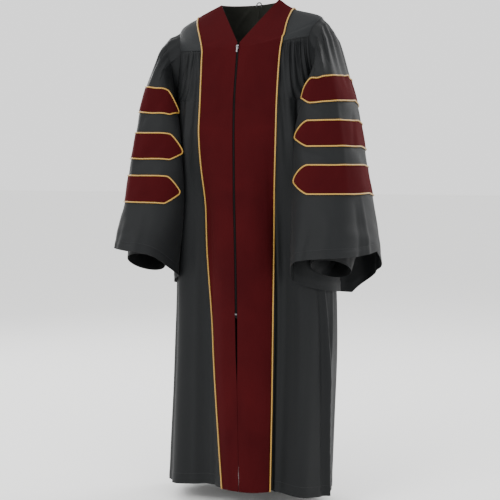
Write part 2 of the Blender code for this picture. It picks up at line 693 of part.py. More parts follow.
def inner_cuff(label, side, ring, ring_normals):
    """A funnel from the sleeve wall down to the round wrist opening inside the bell."""
    angles = np.linspace(0, 2 * math.pi, SLEEVE_STEPS, endpoint=False)
    out = np.array([1.0, 0, 0])
    front = np.array([0, -math.cos(CUFF_TILT), math.sin(CUFF_TILT)])
    mouth = np.array(CUFF_CENTRE) + CUFF_RADIUS * (
        np.cos(angles)[:, None] * out + np.sin(angles)[:, None] * front
    )
    mouth[:, 0] *= side
    top = ring - ring_normals * (CLOTH + CUFF_TOP_GAP)
    shares = np.linspace(0, 1, CUFF_STEPS + 1)[:, None, None]
    by_axis = shares ** np.array([0.6, 1.4, 1.0])
    grid = top * (1 - by_axis) + mouth * by_axis
    grid = grid + np.array([0, 0, -0.012]) * np.sin(math.pi * shares)
    grid[1:] = clear_of_body(grid[1:], CUFF_CLEARANCE)
    around = np.roll(grid, -1, 1) - np.roll(grid, 1, 1)
    down = np.gradient(grid, axis=0)
    normals = unit(np.cross(around, down))
    if (normals[2, 0, 0] > 0) != (side > 0):
        normals = -normals
    normals[0] = ring_normals
    cloth_wall(f"inner_cuff_{label}", grid, normals, closed=True)


def front_line(height):
    """The point of the centre front at this height, and its normal."""
    rows = np.linspace(0, HEM_ROW, 700)
    row = np.interp(-height, -torso(0.0, rows)[:, 2], rows)
    return torso(0.0, row), torso_normal(0.0, row)


def box_between(name, stations, half_width, low, high, finish):
    """A long bar that follows the centre front, between two distances out from its surface."""
    found = [front_line(height) for height in stations]
    middle = np.array([point for point, _ in found])
    normals = np.array([normal for _, normal in found])
    aside = np.array([half_width, 0, 0])
    lower = np.stack([middle + normals * low - aside, middle + normals * low + aside], 1)
    upper = np.stack([middle + normals * high - aside, middle + normals * high + aside], 1)
    return wall(name, lower, upper, finish)


def join_shapes(piece, others, operation):
    """Adds the other solids to a piece, or cuts them out of it."""
    for number, other in enumerate(others):
        change = piece.modifiers.new(f"{operation.lower()}_{number}", "BOOLEAN")
        change.operation = operation
        change.object = other
        other.hide_render = True
        other.display_type = "WIRE"


def block(name, centre, size, finish):
    """A plain box, its corners given by its middle and its three lengths."""
    corners = [(x, y, z) for x in (-0.5, 0.5) for y in (-0.5, 0.5) for z in (-0.5, 0.5)]
    points = [[c + s * e for c, s, e in zip(centre, size, corner)] for corner in corners]
    quads = [(0, 1, 3, 2), (4, 6, 7, 5), (0, 4, 5, 1), (2, 3, 7, 6), (0, 2, 6, 4), (1, 5, 7, 3)]
    faces = [face for a, b, c, d in quads for face in ((a, b, c), (a, c, d))]
    return add_piece(name, points, faces, finish)


def rod(name, start, end, radius, sides, finish):
    """A round bar along X."""
    turns = np.linspace(0, 2 * math.pi, sides, endpoint=False)
    outline = [(start[1] + radius * math.cos(turn), start[2] + radius * math.sin(turn)) for turn in turns]
    points = [(x, *place) for x in (start[0], end[0]) for place in outline]
    faces = []
    for a in range(sides):
        b = (a + 1) % sides
        faces += [(a, b, b + sides), (a, b + sides, a + sides)]
    for a in range(1, sides - 1):
        faces += [(0, a + 1, a), (sides, sides + a, sides + a + 1)]
    return add_piece(name, points, faces, finish)


def ended_at(points, normals, foot):
    """The rows of a strip down to this height, the last one moved up to it."""
    last = int((points[:, 0, 2] > foot).sum())
    above, below = points[last - 1, 0, 2], points[last, 0, 2]
    share = (above - foot) / (above - below)
    points = points[: last + 1].copy()
    points[last] = points[last - 1] * (1 - share) + points[last] * share
    return points, normals[: last + 1]


def front_edges():
    """Points and normals down the front: 10 mm in from each edge, and at the edges themselves."""
    columns = []
    for side in (-1, 1):
        turns, rows = front_grid(side, yoke=False)
        turns, rows = turns[:, :2], rows[:, :2]
        normals = torso_normal(turns, rows)
        points = torso(turns, rows) + normals * fold_depth(turns, rows)[..., None]
        share = TAPE_REACH / np.linalg.norm(points[:, 1] - points[:, 0], axis=-1, keepdims=True)
        pair = [(grid[:, 0], grid[:, 0] * (1 - share) + grid[:, 1] * share) for grid in (points, normals)]
        order = (1, 0) if side < 0 else (0, 1)
        columns += [(pair[0][number], pair[1][number]) for number in order]
    points = np.stack([place for place, _ in columns], 1)
    return points, unit(np.stack([way for _, way in columns], 1))


def front_zip():
    """Tape and closed chain behind the front edges, the end stop, the slider and its pull tab."""
    points, normals = front_edges()
    back = CLOTH + 2 * SEAM
    tape, ways = ended_at(trimmed(points, ("top",), 2 * SEAM), normals, ZIP_FOOT - TAPE_TAIL)
    wall("zip_tape", tape - ways * (back + TAPE_THICKNESS), tape - ways * back, "zip_black")

    slider_heights = ZIP_TOP - np.array([0.001, 0.006, 0.012])
    start, start_ways = front_line(ZIP_TOP - np.array([0.001, 0.004]))
    middle = np.concatenate([start, points[:, 1:3].mean(1)])[:, None]
    ways = unit(np.concatenate([start_ways, normals[:, 1:3].mean(1)]))[:, None]
    middle, ways = ended_at(middle, ways, ZIP_FOOT)
    middle = middle + np.array([[-CHAIN_HALF, 0, 0], [CHAIN_HALF, 0, 0]])
    wall("zip_chain", middle - ways * (back - CHAIN_STAND), middle + ways * CHAIN_FACE, "zip_black")
    stop = (ZIP_FOOT + 0.006, ZIP_FOOT + 0.002)
    stop_half = CHAIN_HALF + 0.0006
    box_between("zip_end_stop", stop, stop_half, CHAIN_FACE + SEAM, CHAIN_FACE + 0.0016, "zip_metal")

    top, normal = front_line(ZIP_TOP - 0.006)
    face = CHAIN_FACE + SEAM
    body_depth = 0.0030
    box_between("zip_slider", slider_heights, SLIDER_HALF, face, face + body_depth, "zip_metal")
    slider = bpy.data.objects["zip_slider"]
    pivot = top + normal * (face + body_depth + PULL_STAND)
    ears = [
        block(
            f"ear_{number}",
            (x, pivot[1] + PULL_STAND / 2, pivot[2]),
            (0.0008, PULL_STAND + 0.0036, 0.0036),
            "zip_metal",
        )
        for number, x in enumerate((-EAR_X, EAR_X))
    ]
    pin = rod("pin", (-EAR_X, *pivot[1:]), (EAR_X, *pivot[1:]), PIN_RADIUS, 10, "zip_metal")
    join_shapes(slider, [*ears, pin], "UNION")

    eye = rod("zip_pull", (-PULL_HALF, *pivot[1:]), (PULL_HALF, *pivot[1:]), EYE_RADIUS, 16, "zip_metal")
    plate_size = (PULL_HALF * 2 - 0.0004, PULL_THICK, PULL_LENGTH)
    plate = block("plate", (0, 0, -PULL_LENGTH / 2 - 0.0012), plate_size, "zip_metal")
    chest = front_line(pivot[2] - PULL_LENGTH)[0] - front_line(pivot[2])[0]
    plate.rotation_euler.x = math.atan2(chest[1], -chest[2])
    plate.location = pivot
    bore = rod("bore", (-0.01, *pivot[1:]), (0.01, *pivot[1:]), PIN_RADIUS + SEAM, 12, "zip_metal")
    join_shapes(eye, [plate], "UNION")
    join_shapes(eye, [bore], "DIFFERENCE")


def hanger_loop():
    """The small loop that stands up from the back neckline."""
    steps = 9
    angles = np.linspace(0, math.pi, steps)
    back = torso(math.pi, 0.0)
    seat = back + np.array([0, -LOOP_RADIUS - CLOTH - 3 * SEAM, 0])
    path = np.stack([LOOP_HALF * np.cos(angles), np.zeros(steps), LOOP_RISE * np.sin(angles)], -1)
    path = np.concatenate([path[:1] - [[0, 0, LOOP_TAIL]], path, path[-1:] - [[0, 0, LOOP_TAIL]]]) + seat
    curve = bpy.data.curves.new("hanger_loop", "CURVE")
    curve.dimensions = "3D"
    curve.bevel_depth = LOOP_RADIUS
    curve.bevel_resolution = 2
    curve.use_fill_caps = True
    line = curve.splines.new("POLY")
    line.points.add(len(path) - 1)
    for point, place in zip(line.points, path):
        point.co = (*place, 1)
    curve.materials.append(material("black_cloth"))
    piece = bpy.data.objects.new("hanger_loop", curve)
    bpy.context.scene.collection.objects.link(piece)


clear_scene()
body_panels()
sleeves()
front_zip()
hanger_loop()
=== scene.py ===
"""Looks of a doctoral graduation gown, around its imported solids.

Metres, +Z up, front towards -Y, +X to the wearer's left; the origin lies midway between the
two points where the neckline meets the shoulder seams.
"""

import math
from collections import namedtuple

import bpy
import numpy as np
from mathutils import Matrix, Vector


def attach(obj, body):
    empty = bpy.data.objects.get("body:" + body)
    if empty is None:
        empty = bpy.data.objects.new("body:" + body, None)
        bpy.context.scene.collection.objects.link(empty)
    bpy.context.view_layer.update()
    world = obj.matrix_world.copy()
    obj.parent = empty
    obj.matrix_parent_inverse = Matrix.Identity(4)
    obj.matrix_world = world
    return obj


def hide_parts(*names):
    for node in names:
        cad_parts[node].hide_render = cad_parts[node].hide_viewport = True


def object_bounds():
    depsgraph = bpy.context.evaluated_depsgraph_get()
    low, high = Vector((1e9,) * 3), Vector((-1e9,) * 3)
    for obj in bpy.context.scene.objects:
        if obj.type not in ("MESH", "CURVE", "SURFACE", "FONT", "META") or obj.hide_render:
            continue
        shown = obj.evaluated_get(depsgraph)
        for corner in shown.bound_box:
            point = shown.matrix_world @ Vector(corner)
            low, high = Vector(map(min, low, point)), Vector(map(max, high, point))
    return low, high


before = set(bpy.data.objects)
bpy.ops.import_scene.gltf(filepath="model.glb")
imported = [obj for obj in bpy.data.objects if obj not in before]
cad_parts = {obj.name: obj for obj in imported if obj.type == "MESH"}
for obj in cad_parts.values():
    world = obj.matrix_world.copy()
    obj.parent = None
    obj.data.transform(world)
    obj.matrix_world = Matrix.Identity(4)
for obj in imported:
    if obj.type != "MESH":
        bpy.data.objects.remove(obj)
cad_box = [[float(value) for value in corner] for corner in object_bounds()]


# Setting. The gown stands filled out on nothing, over a plain pale floor, in the soft light of a
# photo studio. The camera stands a little to the wearer's left, at the height of the elbows.

IMAGE_SIDE = 500
SENSOR = 0.036
FOCAL_PIXELS = 1051
CAMERA_PLACE = (1.0751, -2.8007, -0.450)
CAMERA_TURN = math.radians(21.0)
CAMERA_PITCH = math.radians(4.7)
FLOOR_DROP = 0.030
FLOOR_SIDE = 60.0


def linear(hex_colour):
    """The linear colour of an sRGB hex value."""
    channels = [int(hex_colour[place : place + 2], 16) / 255 for place in (1, 3, 5)]
    return tuple(c / 12.92 if c <= 0.04045 else ((c + 0.055) / 1.055) ** 2.4 for c in channels)


def feed(tree, target, **inputs):
    """Sets a node's inputs, by name or as _ and a number, to a value or the socket that feeds it."""
    for name, value in inputs.items():
        socket = target.inputs[int(name[1:]) if name[1:].isdigit() else name.replace("_", " ")]
        if isinstance(value, bpy.types.NodeSocket):
            tree.links.new(value, socket)
        elif socket.type == "RGBA":
            socket.default_value = (*value, 1.0)
        else:
            socket.default_value = value


def node(tree, kind, settings=None, **inputs):
    """Adds a node with its settings and its inputs."""
    added = tree.nodes.new(kind)
    for name, value in (settings or {}).items():
        setattr(added, name, value)
    feed(tree, added, **inputs)
    return added


def arithmetic(tree, operation, *values):
    """Adds a node that works out one number from others, and gives its result."""
    inputs = {f"_{place}": value for place, value in enumerate(values)}
    return node(tree, "ShaderNodeMath", {"operation": operation}, **inputs).outputs[0]


def blend(tree, share, first, second, how="MIX"):
    """Adds a node that mixes two colours, and gives its result."""
    settings = {"data_type": "RGBA", "blend_type": how}
    return node(tree, "ShaderNodeMix", settings, _0=share, _6=first, _7=second).outputs[2]


def new_material(name):
    """A material with its Principled shader."""
    made = bpy.data.materials.new(name)
    made.use_nodes = True
    return made, made.node_tree, made.node_tree.nodes["Principled BSDF"]


def studio():
    """Floor, camera, lights and the pale surround."""
    half = FLOOR_SIDE / 2
    height = cad_box[0][2] - FLOOR_DROP
    mesh = bpy.data.meshes.new("floor")
    corners = [(-half, -half, height), (half, -half, height), (half, half, height), (-half, half, height)]
    mesh.from_pydata(corners, [], [(0, 1, 2, 3)])
    floor = bpy.data.objects.new("floor", mesh)
    bpy.context.scene.collection.objects.link(floor)
    paper, tree, shader = new_material("matt_studio_paper")
    feed(tree, shader, Base_Color=linear("#f6f6f5"), Roughness=0.95, Specular_IOR_Level=0.1)
    mesh.materials.append(paper)

    camera = bpy.data.cameras.new("camera")
    camera.sensor_width = SENSOR * 1000
    camera.lens = FOCAL_PIXELS / IMAGE_SIDE * SENSOR * 1000
    viewer = bpy.data.objects.new("camera", camera)
    viewer.location = CAMERA_PLACE
    viewer.rotation_euler = (math.pi / 2 - CAMERA_PITCH, 0, CAMERA_TURN)
    bpy.context.scene.collection.objects.link(viewer)
    bpy.context.scene.camera = viewer

    for name, place, aim, side, power in (
        ("key_light", (-1.2, -2.9, 1.3), (0, 0, -0.6), 1.5, 70),
        ("fill_light", (2.6, -2.3, 0.2), (0, 0, -0.7), 1.9, 34),
        ("edge_light", (1.9, 2.2, 1.3), (0, 0, -0.5), 1.4, 60),
        ("rim_light", (-2.3, 1.6, 0.9), (0, 0, -0.5), 1.4, 50),
    ):
        lamp = bpy.data.lights.new(name, "AREA")
        lamp.size = side
        lamp.energy = power
        holder = bpy.data.objects.new(name, lamp)
        holder.location = place
        away = np.array(place) - np.array(aim)
        holder.rotation_euler = (
            math.atan2(math.hypot(away[0], away[1]), away[2]),
            0,
            math.atan2(away[1], away[0]) + math.pi / 2,
        )
        bpy.context.scene.collection.objects.link(holder)
    world = bpy.data.worlds.new("surround")
    world.use_nodes = True
    sky = world.node_tree
    feed(sky, sky.nodes["Background"], Color=(1, 1, 1), Strength=1.5)
    bpy.context.scene.world = world


studio()


# Form of the body. The gown hangs from its yokes as one tube, so all its panels lie on one
# surface. Each row is a closed ring: its middle, half width, reach to the front and the back, the
# power of its curve (1 is straight sides, 2 an ellipse) and its heights. rise is how late the ring
# climbs or falls towards its middle, tilt raises the left and lowers the right, and opening_x is
# where the front opening lies at x.

Ring = namedtuple(
    "Ring",
    "place centre_x centre_y half_width front back front_power back_power"
    " z_front z_side z_back rise tilt opening_x",
)
TORSO = (
    Ring("neckline", 0, 0, 0.086, 0.09, 0.078, 1, 2, -0.124, 0, 0.004, 1, 0.042, 0),
    Ring("mid shoulder", -0.014, 0, 0.141, 0.0906, 0.108, 1.35, 2.1, -0.127, -0.028, -0.042, 1.3,
         0.042, 0.014),
    Ring("shoulder point", 0, 0, 0.212, 0.0912, 0.122, 1.9, 2.2, -0.13, -0.062, -0.09, 1.6, 0.048, 0),
    Ring("yoke seam", 0, 0, 0.217, 0.092, 0.13, 2.4, 2.4, -0.133, -0.117, -0.134, 3, 0.07, 0),
    Ring("underarm", 0.002, 0, 0.213, 0.123, 0.14, 2.4, 2.3, -0.275, -0.275, -0.275, 2, 0, 0),
    Ring("waist", 0.006, 0.004, 0.224, 0.15, 0.152, 2.3, 2.2, -0.5, -0.5, -0.5, 2, 0, 0.003),
    Ring("hip", 0.014, 0.01, 0.238, 0.163, 0.168, 2.2, 2.1, -0.85, -0.85, -0.85, 2, 0, 0.004),
    Ring("hem", -0.008, 0.012, 0.244, 0.166, 0.176, 2.1, 2.1, -1.356, -1.384, -1.395, 2, 0, 0.034),
)
YOKE_ROW = 3.0
UNDERARM_ROW = 4.0
HEM_ROW = 7.0

# Long folds of the skirt: turn at the top and the foot in degrees from the centre front, rows
# they run between, half width in degrees and depth, outwards if positive
Fold = namedtuple("Fold", "name top_turn foot_turn top_row foot_row half_width depth")
FOLDS = (
    Fold("left fold by the facing", 44, 38, 4.5, 7.0, 17, -0.0360),
    Fold("right fold by the facing", -44, -37, 4.4, 7.0, 17, -0.0390),
    Fold("left crease by the facing", 46, 43, 4.9, 7.0, 5, -0.0060),
    Fold("left soft ridge", 62, 60, 4.9, 7.0, 7, 0.0080),
    Fold("left line to the side", 76, 84, 5.6, 7.0, 5, 0.0060),
    Fold("left trough under the yoke", 63, 60, 3.5, 4.6, 5, -0.0080),
    Fold("right soft ridge", -60, -60, 4.7, 7.0, 8, 0.0080),
    Fold("right trough at the side", -74, -76, 5.2, 7.0, 6, -0.0060),
    Fold("left side back ridge", 112, 110, 5.6, 7.0, 8, 0.0080),
    Fold("left back trough", 130, 127, 4.2, 7.0, 7, -0.0100),
    Fold("left back ridge", 147, 144, 3.8, 7.0, 7, 0.0090),
    Fold("left centre back trough", 163, 161, 4.4, 7.0, 6, -0.0080),
    Fold("centre back ridge", 178, 181, 4.0, 7.0, 7, 0.0090),
    Fold("right centre back trough", 196, 199, 4.6, 7.0, 6, -0.0090),
    Fold("right back ridge", 211, 214, 3.9, 7.0, 7, 0.0080),
    Fold("right back trough", 229, 232, 4.3, 7.0, 7, -0.0100),
    Fold("right side back ridge", 247, 249, 5.6, 7.0, 8, 0.0080),
)
# Creases too soft or too short for the solids, in the same columns
CREASES = (
    Fold("left gather into the deep fold", 44, 50, 3.02, 3.9, 1.6, 0.0030),
    Fold("left deep fold under the yoke", 53, 50, 3.10, 4.9, 2.6, -0.0070),
    Fold("left ridge beside it", 58, 56, 3.15, 5.0, 2.8, 0.0050),
    Fold("left chest crease", 66, 61, 3.2, 4.5, 1.8, -0.0035),
    Fold("left light line", 69, 84, 5.35, 7.0, 1.2, 0.0075),
    Fold("left dark line beside it", 66, 80, 5.4, 7.0, 2.4, -0.0060),
    Fold("left slanting highlight", 88, 77, 5.5, 6.6, 2.4, 0.0080),
    Fold("left soft upright", 56, 57, 5.2, 6.9, 3.2, 0.0060),
    Fold("left line by the facing", 37, 34, 4.6, 7.0, 2.3, -0.0120),
    Fold("right deep fold under the yoke", -52, -50, 3.1, 4.8, 2.6, -0.0060),
    Fold("right ridge beside it", -57, -57, 3.1, 5.0, 2.6, 0.0045),
    Fold("right trough beside the facing", -33, -30, 4.5, 7.0, 2.2, -0.0040),
    Fold("right soft upright", -49, -47, 4.9, 7.0, 3.4, 0.0050),
    Fold("right side crease", -66, -71, 4.8, 7.0, 2.6, -0.0050),
    Fold("right side ridge", -79, -80, 5.4, 7.0, 3.0, 0.0050),
    Fold("left side crease", 99, 103, 4.9, 7.0, 2.6, -0.0045),
    Fold("left back crease", 121, 118, 3.5, 5.9, 2.4, -0.0045),
    Fold("left back line", 138, 134, 3.2, 7.0, 2.0, 0.0040),
    Fold("left back short crease", 155, 150, 3.1, 4.6, 2.2, -0.0045),
    Fold("centre back crease", 171, 173, 3.2, 6.3, 2.2, -0.0045),
    Fold("centre back line", 187, 189, 3.6, 7.0, 2.4, 0.0045),
    Fold("right back short crease", 204, 208, 3.1, 4.7, 2.2, -0.0045),
    Fold("right back line", 221, 224, 3.3, 7.0, 2.0, 0.0040),
    Fold("right back crease", 238, 243, 3.7, 6.1, 2.6, -0.0045),
    Fold("right side back crease", 259, 256, 5.0, 7.0, 2.6, -0.0045),
)


def column(table, name, row):
    """Values of one column at fractional rows, on a curve that never overshoots its rows."""
    values = np.array([getattr(entry, name) for entry in table], float)
    steps = np.diff(values)
    inner = np.zeros(len(steps) - 1)
    same_way = steps[:-1] * steps[1:] > 0
    inner[same_way] = 2 / (1 / steps[:-1][same_way] + 1 / steps[1:][same_way])
    slopes = np.concatenate([steps[:1], inner, steps[-1:]])
    row = np.clip(np.asarray(row, float), 0, len(values) - 1)
    low = np.minimum(row.astype(int), len(values) - 2)
    t = row - low
    start = (2 * t**3 - 3 * t**2 + 1) * values[low] + (t**3 - 2 * t**2 + t) * slopes[low]
    end = (3 * t**2 - 2 * t**3) * values[low + 1] + (t**3 - t**2) * slopes[low + 1]
    return start + end


def torso(turn, row):
    """Points on the plain torso. turn is the angle from the centre front to the wearer's left."""
    turn, row = np.broadcast_arrays(np.asarray(turn, float), np.asarray(row, float))
    across, along = np.sin(turn), np.cos(turn)
    in_front = along >= 0
    depth = np.where(in_front, column(TORSO, "front", row), column(TORSO, "back", row))
    power = np.where(in_front, column(TORSO, "front_power", row), column(TORSO, "back_power", row))
    half_width = column(TORSO, "half_width", row)
    reach = ((np.abs(across) / half_width) ** power + (np.abs(along) / depth) ** power) ** (-1 / power)
    lean = (reach * np.abs(along) / depth) ** column(TORSO, "rise", row)
    z_side = column(TORSO, "z_side", row)
    z_end = np.where(in_front, column(TORSO, "z_front", row), column(TORSO, "z_back", row))
    drift = column(TORSO, "opening_x", row) * np.maximum(along, 0) ** 2
    x = column(TORSO, "centre_x", row) + drift + reach * across
    y = column(TORSO, "centre_y", row) - reach * along
    raised = column(TORSO, "tilt", row) * x
    return np.stack([x, y, z_side + (z_end - z_side) * lean + raised], -1)


def unit(vectors):
    """The same directions, each one long."""
    length = np.linalg.norm(vectors, axis=-1, keepdims=True)
    return vectors / np.maximum(length, 1e-12)


def torso_normal(turn, row):
    """Directions square to the plain torso, outwards."""
    step = 2e-3
    turn, row = np.broadcast_arrays(np.asarray(turn, float), np.asarray(row, float))
    across = torso(turn + step, row) - torso(turn - step, row)
    down = torso(turn, np.minimum(row + step, HEM_ROW)) - torso(turn, np.maximum(row - step, 0))
    return unit(np.cross(down, across))


def fold_depth(turn, row, table=FOLDS):
    """How far the long folds stand out from the plain torso."""
    degrees = np.degrees(turn)
    total = np.zeros(np.broadcast(degrees, row).shape)
    for fold in table:
        share = np.clip((row - fold.top_row) / (fold.foot_row - fold.top_row), 0, 1)
        middle = fold.top_turn + (fold.foot_turn - fold.top_turn) * share
        off = (degrees - middle + 180) % 360 - 180
        grow = np.clip((row - fold.top_row) / 0.9, 0, 1)
        fade = 1.0 if fold.foot_row >= HEM_ROW else np.clip((fold.foot_row - row) / 0.5, 0, 1)
        strength = fold.depth * grow * grow * (3 - 2 * grow) * fade
        total = total + strength * np.exp(-((off / fold.half_width) ** 2))
    return total


SLOW_RIPPLE = 0.0011
QUICK_RIPPLE = 0.0006


def ripple(turn, row):
    """The slight unevenness that hanging cloth has everywhere but on its side seams, about 1 mm."""
    degrees = np.degrees(turn)
    off_seam = 1 - np.exp(-((np.cos(turn) / 0.04) ** 2))
    slow = np.sin(degrees / 7.3 + 1.3 * np.sin(row * 1.7)) * np.sin(row * 2.1 + degrees / 31)
    quick = np.sin(degrees / 3.1 + row * 4.3 + 2.0 * np.sin(degrees / 17)) * np.sin(row * 6.1 - degrees / 13)
    below_yoke = np.clip((row - YOKE_ROW) / 0.5, 0, 1)
    return (SLOW_RIPPLE * slow + QUICK_RIPPLE * quick) * off_seam * below_yoke


# Black gown cloth: a plain-woven polyester of medium weight, piece-dyed and pressed. It is matt
# with a faint sheen on its folds; its weave shows only as a fine grain, and its hems are double.

CLOTH = 0.0009
SEAM = 0.0003
WEAVE_REPEAT = 0.0016


def gown_cloth(name, colour, edge_colour):
    """Plain weave on the piece's own UV map, which is in metres along the weft and the warp.

    The real threads are 0.25 mm apart, too fine for the picture, so the grain is drawn at 1.6 mm.
    """
    made, tree, shader = new_material(name)
    place = node(tree, "ShaderNodeUVMap", {"uv_map": "cloth_metres"}).outputs["UV"]
    split = node(tree, "ShaderNodeSeparateXYZ", Vector=place)
    threads = []
    for axis in ("X", "Y"):
        phase = arithmetic(tree, "MULTIPLY", split.outputs[axis], 2 * math.pi / WEAVE_REPEAT)
        threads.append(arithmetic(tree, "SINE", phase))
    weave = arithmetic(tree, "MULTIPLY", *threads)
    slub = node(tree, "ShaderNodeTexNoise", Vector=place, Scale=420.0, Detail=3.0, Roughness=0.6)
    dye = node(tree, "ShaderNodeTexNoise", Vector=place, Scale=9.0, Detail=2.0, Roughness=0.5)
    grain = arithmetic(tree, "MULTIPLY_ADD", weave, 0.25, slub.outputs[0])
    shade = arithmetic(tree, "MULTIPLY_ADD", dye.outputs[0], 0.5, 0.22)
    tint = blend(tree, shade, linear(colour), linear(edge_colour))
    speckle = arithmetic(tree, "MULTIPLY_ADD", slub.outputs[0], 0.3, 0.85)
    lit = blend(tree, 1.0, tint, speckle, "MULTIPLY")
    rough = arithmetic(tree, "MULTIPLY_ADD", slub.outputs[0], 0.16, 0.56)
    bump = node(tree, "ShaderNodeBump", Strength=0.35, Distance=0.0006, Height=grain)
    feed(tree, shader, Base_Color=lit, Roughness=rough, Normal=bump.outputs[0])
    feed(tree, shader, Specular_IOR_Level=0.20, Sheen_Weight=0.02, Sheen_Roughness=0.5)
    return made


black_polyester = gown_cloth("black_polyester_plain_weave", "#080a0b", "#0e1012")
# The yokes are the gown cloth; their lighter colour is painted light, the brighter look of the shoulders.
yoke_polyester_painted_lighter = gown_cloth("black_polyester_yoke_painted_lighter", "#131516", "#1a1c1e")
# Inside of the back yoke: the gown cloth painted much lighter, as painted light in the shade of the neck.
yoke_inside_painted_lighter = gown_cloth("yoke_inside_cloth_painted_lighter", "#262722", "#2f302b")


def trimmed(points, sides, gap=SEAM):
    """The grid with its edges on the named sides drawn back by half a gap."""
    points = points.copy()
    across = points.swapaxes(0, 1)
    for name, lines, edge, inside in (
        ("top", points, 0, 1),
        ("foot", points, -1, -2),
        ("end", across, -1, -2),
    ):
        if name in sides:
            lines[edge] += unit(lines[inside] - lines[edge]) * gap / 2
    return points


def metres_along(points, axis):
    """Distance along a grid of points from its first row or column, the same for each line."""
    steps = np.linalg.norm(np.diff(points, axis=axis), axis=-1).mean(1 - axis)
    return np.concatenate([[0], np.cumsum(steps)])


def cloth_shell(name, outer, inner, finish, closed=False, facing_inside=None):
    """A thin shell between two grids of points, its UV map in metres. A closed grid is a tube.

    With facing_inside, the inner side has that material in place of the outer one's.
    """
    rows, columns = outer.shape[:2]
    half = rows * columns
    last = columns if closed else columns - 1
    row, column_number = np.meshgrid(np.arange(rows - 1), np.arange(last), indexing="ij")
    after = (column_number + 1) % columns
    quads = np.stack(
        [
            row * columns + column_number,
            (row + 1) * columns + column_number,
            (row + 1) * columns + after,
            row * columns + after,
        ],
        -1,
    ).reshape(-1, 4)
    foot = (rows - 1) * columns
    start = np.arange(last)
    end = (start + 1) % columns
    rims = [np.stack([start, end, end + half, start + half], -1)]
    rims.append(np.stack([foot + end, foot + start, foot + start + half, foot + end + half], -1))
    if not closed:
        down = np.arange(rows - 1) * columns
        rims.append(np.stack([down + columns, down, down + half, down + columns + half], -1))
        down = down + columns - 1
        rims.append(np.stack([down, down + columns, down + columns + half, down + half], -1))
    faces = np.concatenate([quads, quads[:, ::-1] + half, *rims])
    points = np.concatenate([outer.reshape(-1, 3), inner.reshape(-1, 3)])

    middle = quads[len(quads) // 2]
    across = outer.reshape(-1, 3)[middle]
    facing = np.cross(across[1] - across[0], across[3] - across[0])
    outwards = across[0] - inner.reshape(-1, 3)[middle[0]]
    if facing @ outwards < 0:
        faces = faces[:, ::-1]

    mesh = bpy.data.meshes.new(name)
    mesh.from_pydata(points.tolist(), [], faces.tolist())
    ring = np.concatenate([outer, outer[:, :1]], 1) if closed else outer
    weft, warp = metres_along(ring, 1), metres_along(ring, 0)
    corner = faces % half
    u_number, v_number = corner % columns, corner // columns
    if closed:
        wraps = (u_number == 0) & ((u_number == columns - 1).any(1, keepdims=True))
        u_number = np.where(wraps, columns, u_number)
    chart = mesh.uv_layers.new(name="cloth_metres")
    chart.data.foreach_set("uv", np.stack([weft[u_number], warp[v_number]], -1).ravel())
    mesh.materials.append(finish)
    if facing_inside:
        mesh.materials.append(facing_inside)
        layer = np.zeros(len(faces), np.int32)
        layer[len(quads) : 2 * len(quads)] = 1
        mesh.polygons.foreach_set("material_index", layer)
    mesh.shade_smooth()
    mesh.set_sharp_from_angle(angle=math.radians(50))
    piece = bpy.data.objects.new(name, mesh)
    bpy.context.scene.collection.objects.link(piece)
    return piece


def sewn(piece, replaced):
    """Makes a sheet of cloth ride on the gown in place of its solid."""
    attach(piece, "gown")
    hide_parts(replaced)


# Front and back yokes: smooth, faced pieces of the gown cloth over the shoulders. The gathered
# panels hang from their lower edges, and the armhole curves into them.

# Where the facing and the yoke run, from the yoke seam to the shoulder seam: the turn and row
# of the neckline edge, and the half width on each side and the row of the facing's outer edge
Station = namedtuple("Station", "neck_turn neck_row left right facing_row")
STATIONS = (
    Station(0.0, 3.00, 0.121, 0.107, 3.00),
    Station(0.0, 0.00, 0.122, 0.109, 2.60),
    Station(33.0, 0.00, 0.123, 0.113, 2.10),
    Station(62.0, 0.00, 0.129, 0.120, 1.50),
    Station(90.0, 0.00, 0.141, 0.141, 1.00),
)

ARMHOLE_TURN = math.radians(15.5)
YOKE_STATIONS = 40
ARMHOLE_STEPS = 20
FACING_STEPS = 14
YOKE_STEPS = 24
PANEL_STEPS = 84
BACK_STEPS = 240
BAND_STEPS = 8
PANEL_ROWS = np.linspace(UNDERARM_ROW, HEM_ROW, 96)[1:]
BAND_ROW = 1.0
ZIP_GAP = 0.0036

# Velvet facings: how far across from the centre front their piping lies
Facing = namedtuple("Facing", "row left right")
FACING_SPACING = 0.5
FACINGS = (
    Facing(3.0, 0.121, 0.107),
    Facing(3.5, 0.116, 0.105),
    Facing(4.0, 0.115, 0.102),
    Facing(4.5, 0.114, 0.104),
    Facing(5.0, 0.110, 0.112),
    Facing(5.5, 0.104, 0.112),
    Facing(6.0, 0.099, 0.097),
    Facing(6.5, 0.097, 0.072),
    Facing(7.0, 0.093, 0.051),
)


def armhole(angle, side):
    """Turn and row on the torso of a point of the armhole: 0 is its top, 90 degrees its front."""
    row = UNDERARM_ROW - 1 - np.cos(angle)
    turn = math.pi / 2 - ARMHOLE_TURN * np.sin(angle) * (1 - 0.25 * np.cos(angle))
    return side * turn, row


def turn_for_width(width, row):
    """Turn at which the front lies this far across from its centre line."""
    low = np.zeros_like(np.asarray(row, float))
    high = np.full_like(low, math.radians(88))
    for _ in range(40):
        middle = (low + high) / 2
        place = torso(middle, row)[..., 0] - torso(0.0, row)[..., 0]
        drift = column(TORSO, "opening_x", row) * (1 - np.cos(middle) ** 2)
        nearer = place + drift < width
        low = np.where(nearer, middle, low)
        high = np.where(nearer, high, middle)
    return low


def spread(start, end, steps):
    """Values from start to end in equal steps, one row for each entry."""
    shares = np.linspace(0, 1, steps + 1)
    return np.asarray(start)[:, None] * (1 - shares) + np.asarray(end)[:, None] * shares


def opening_gap(row):
    """Half the gap between the front edges: open along the zip, then almost closed to the hem."""
    rows = (3.0, 6.05, 6.3, 6.45, 6.75, 7.0)
    return np.interp(row, rows, (ZIP_GAP, ZIP_GAP, 0.0025, 0.0004, 0.0004, 0.0009))


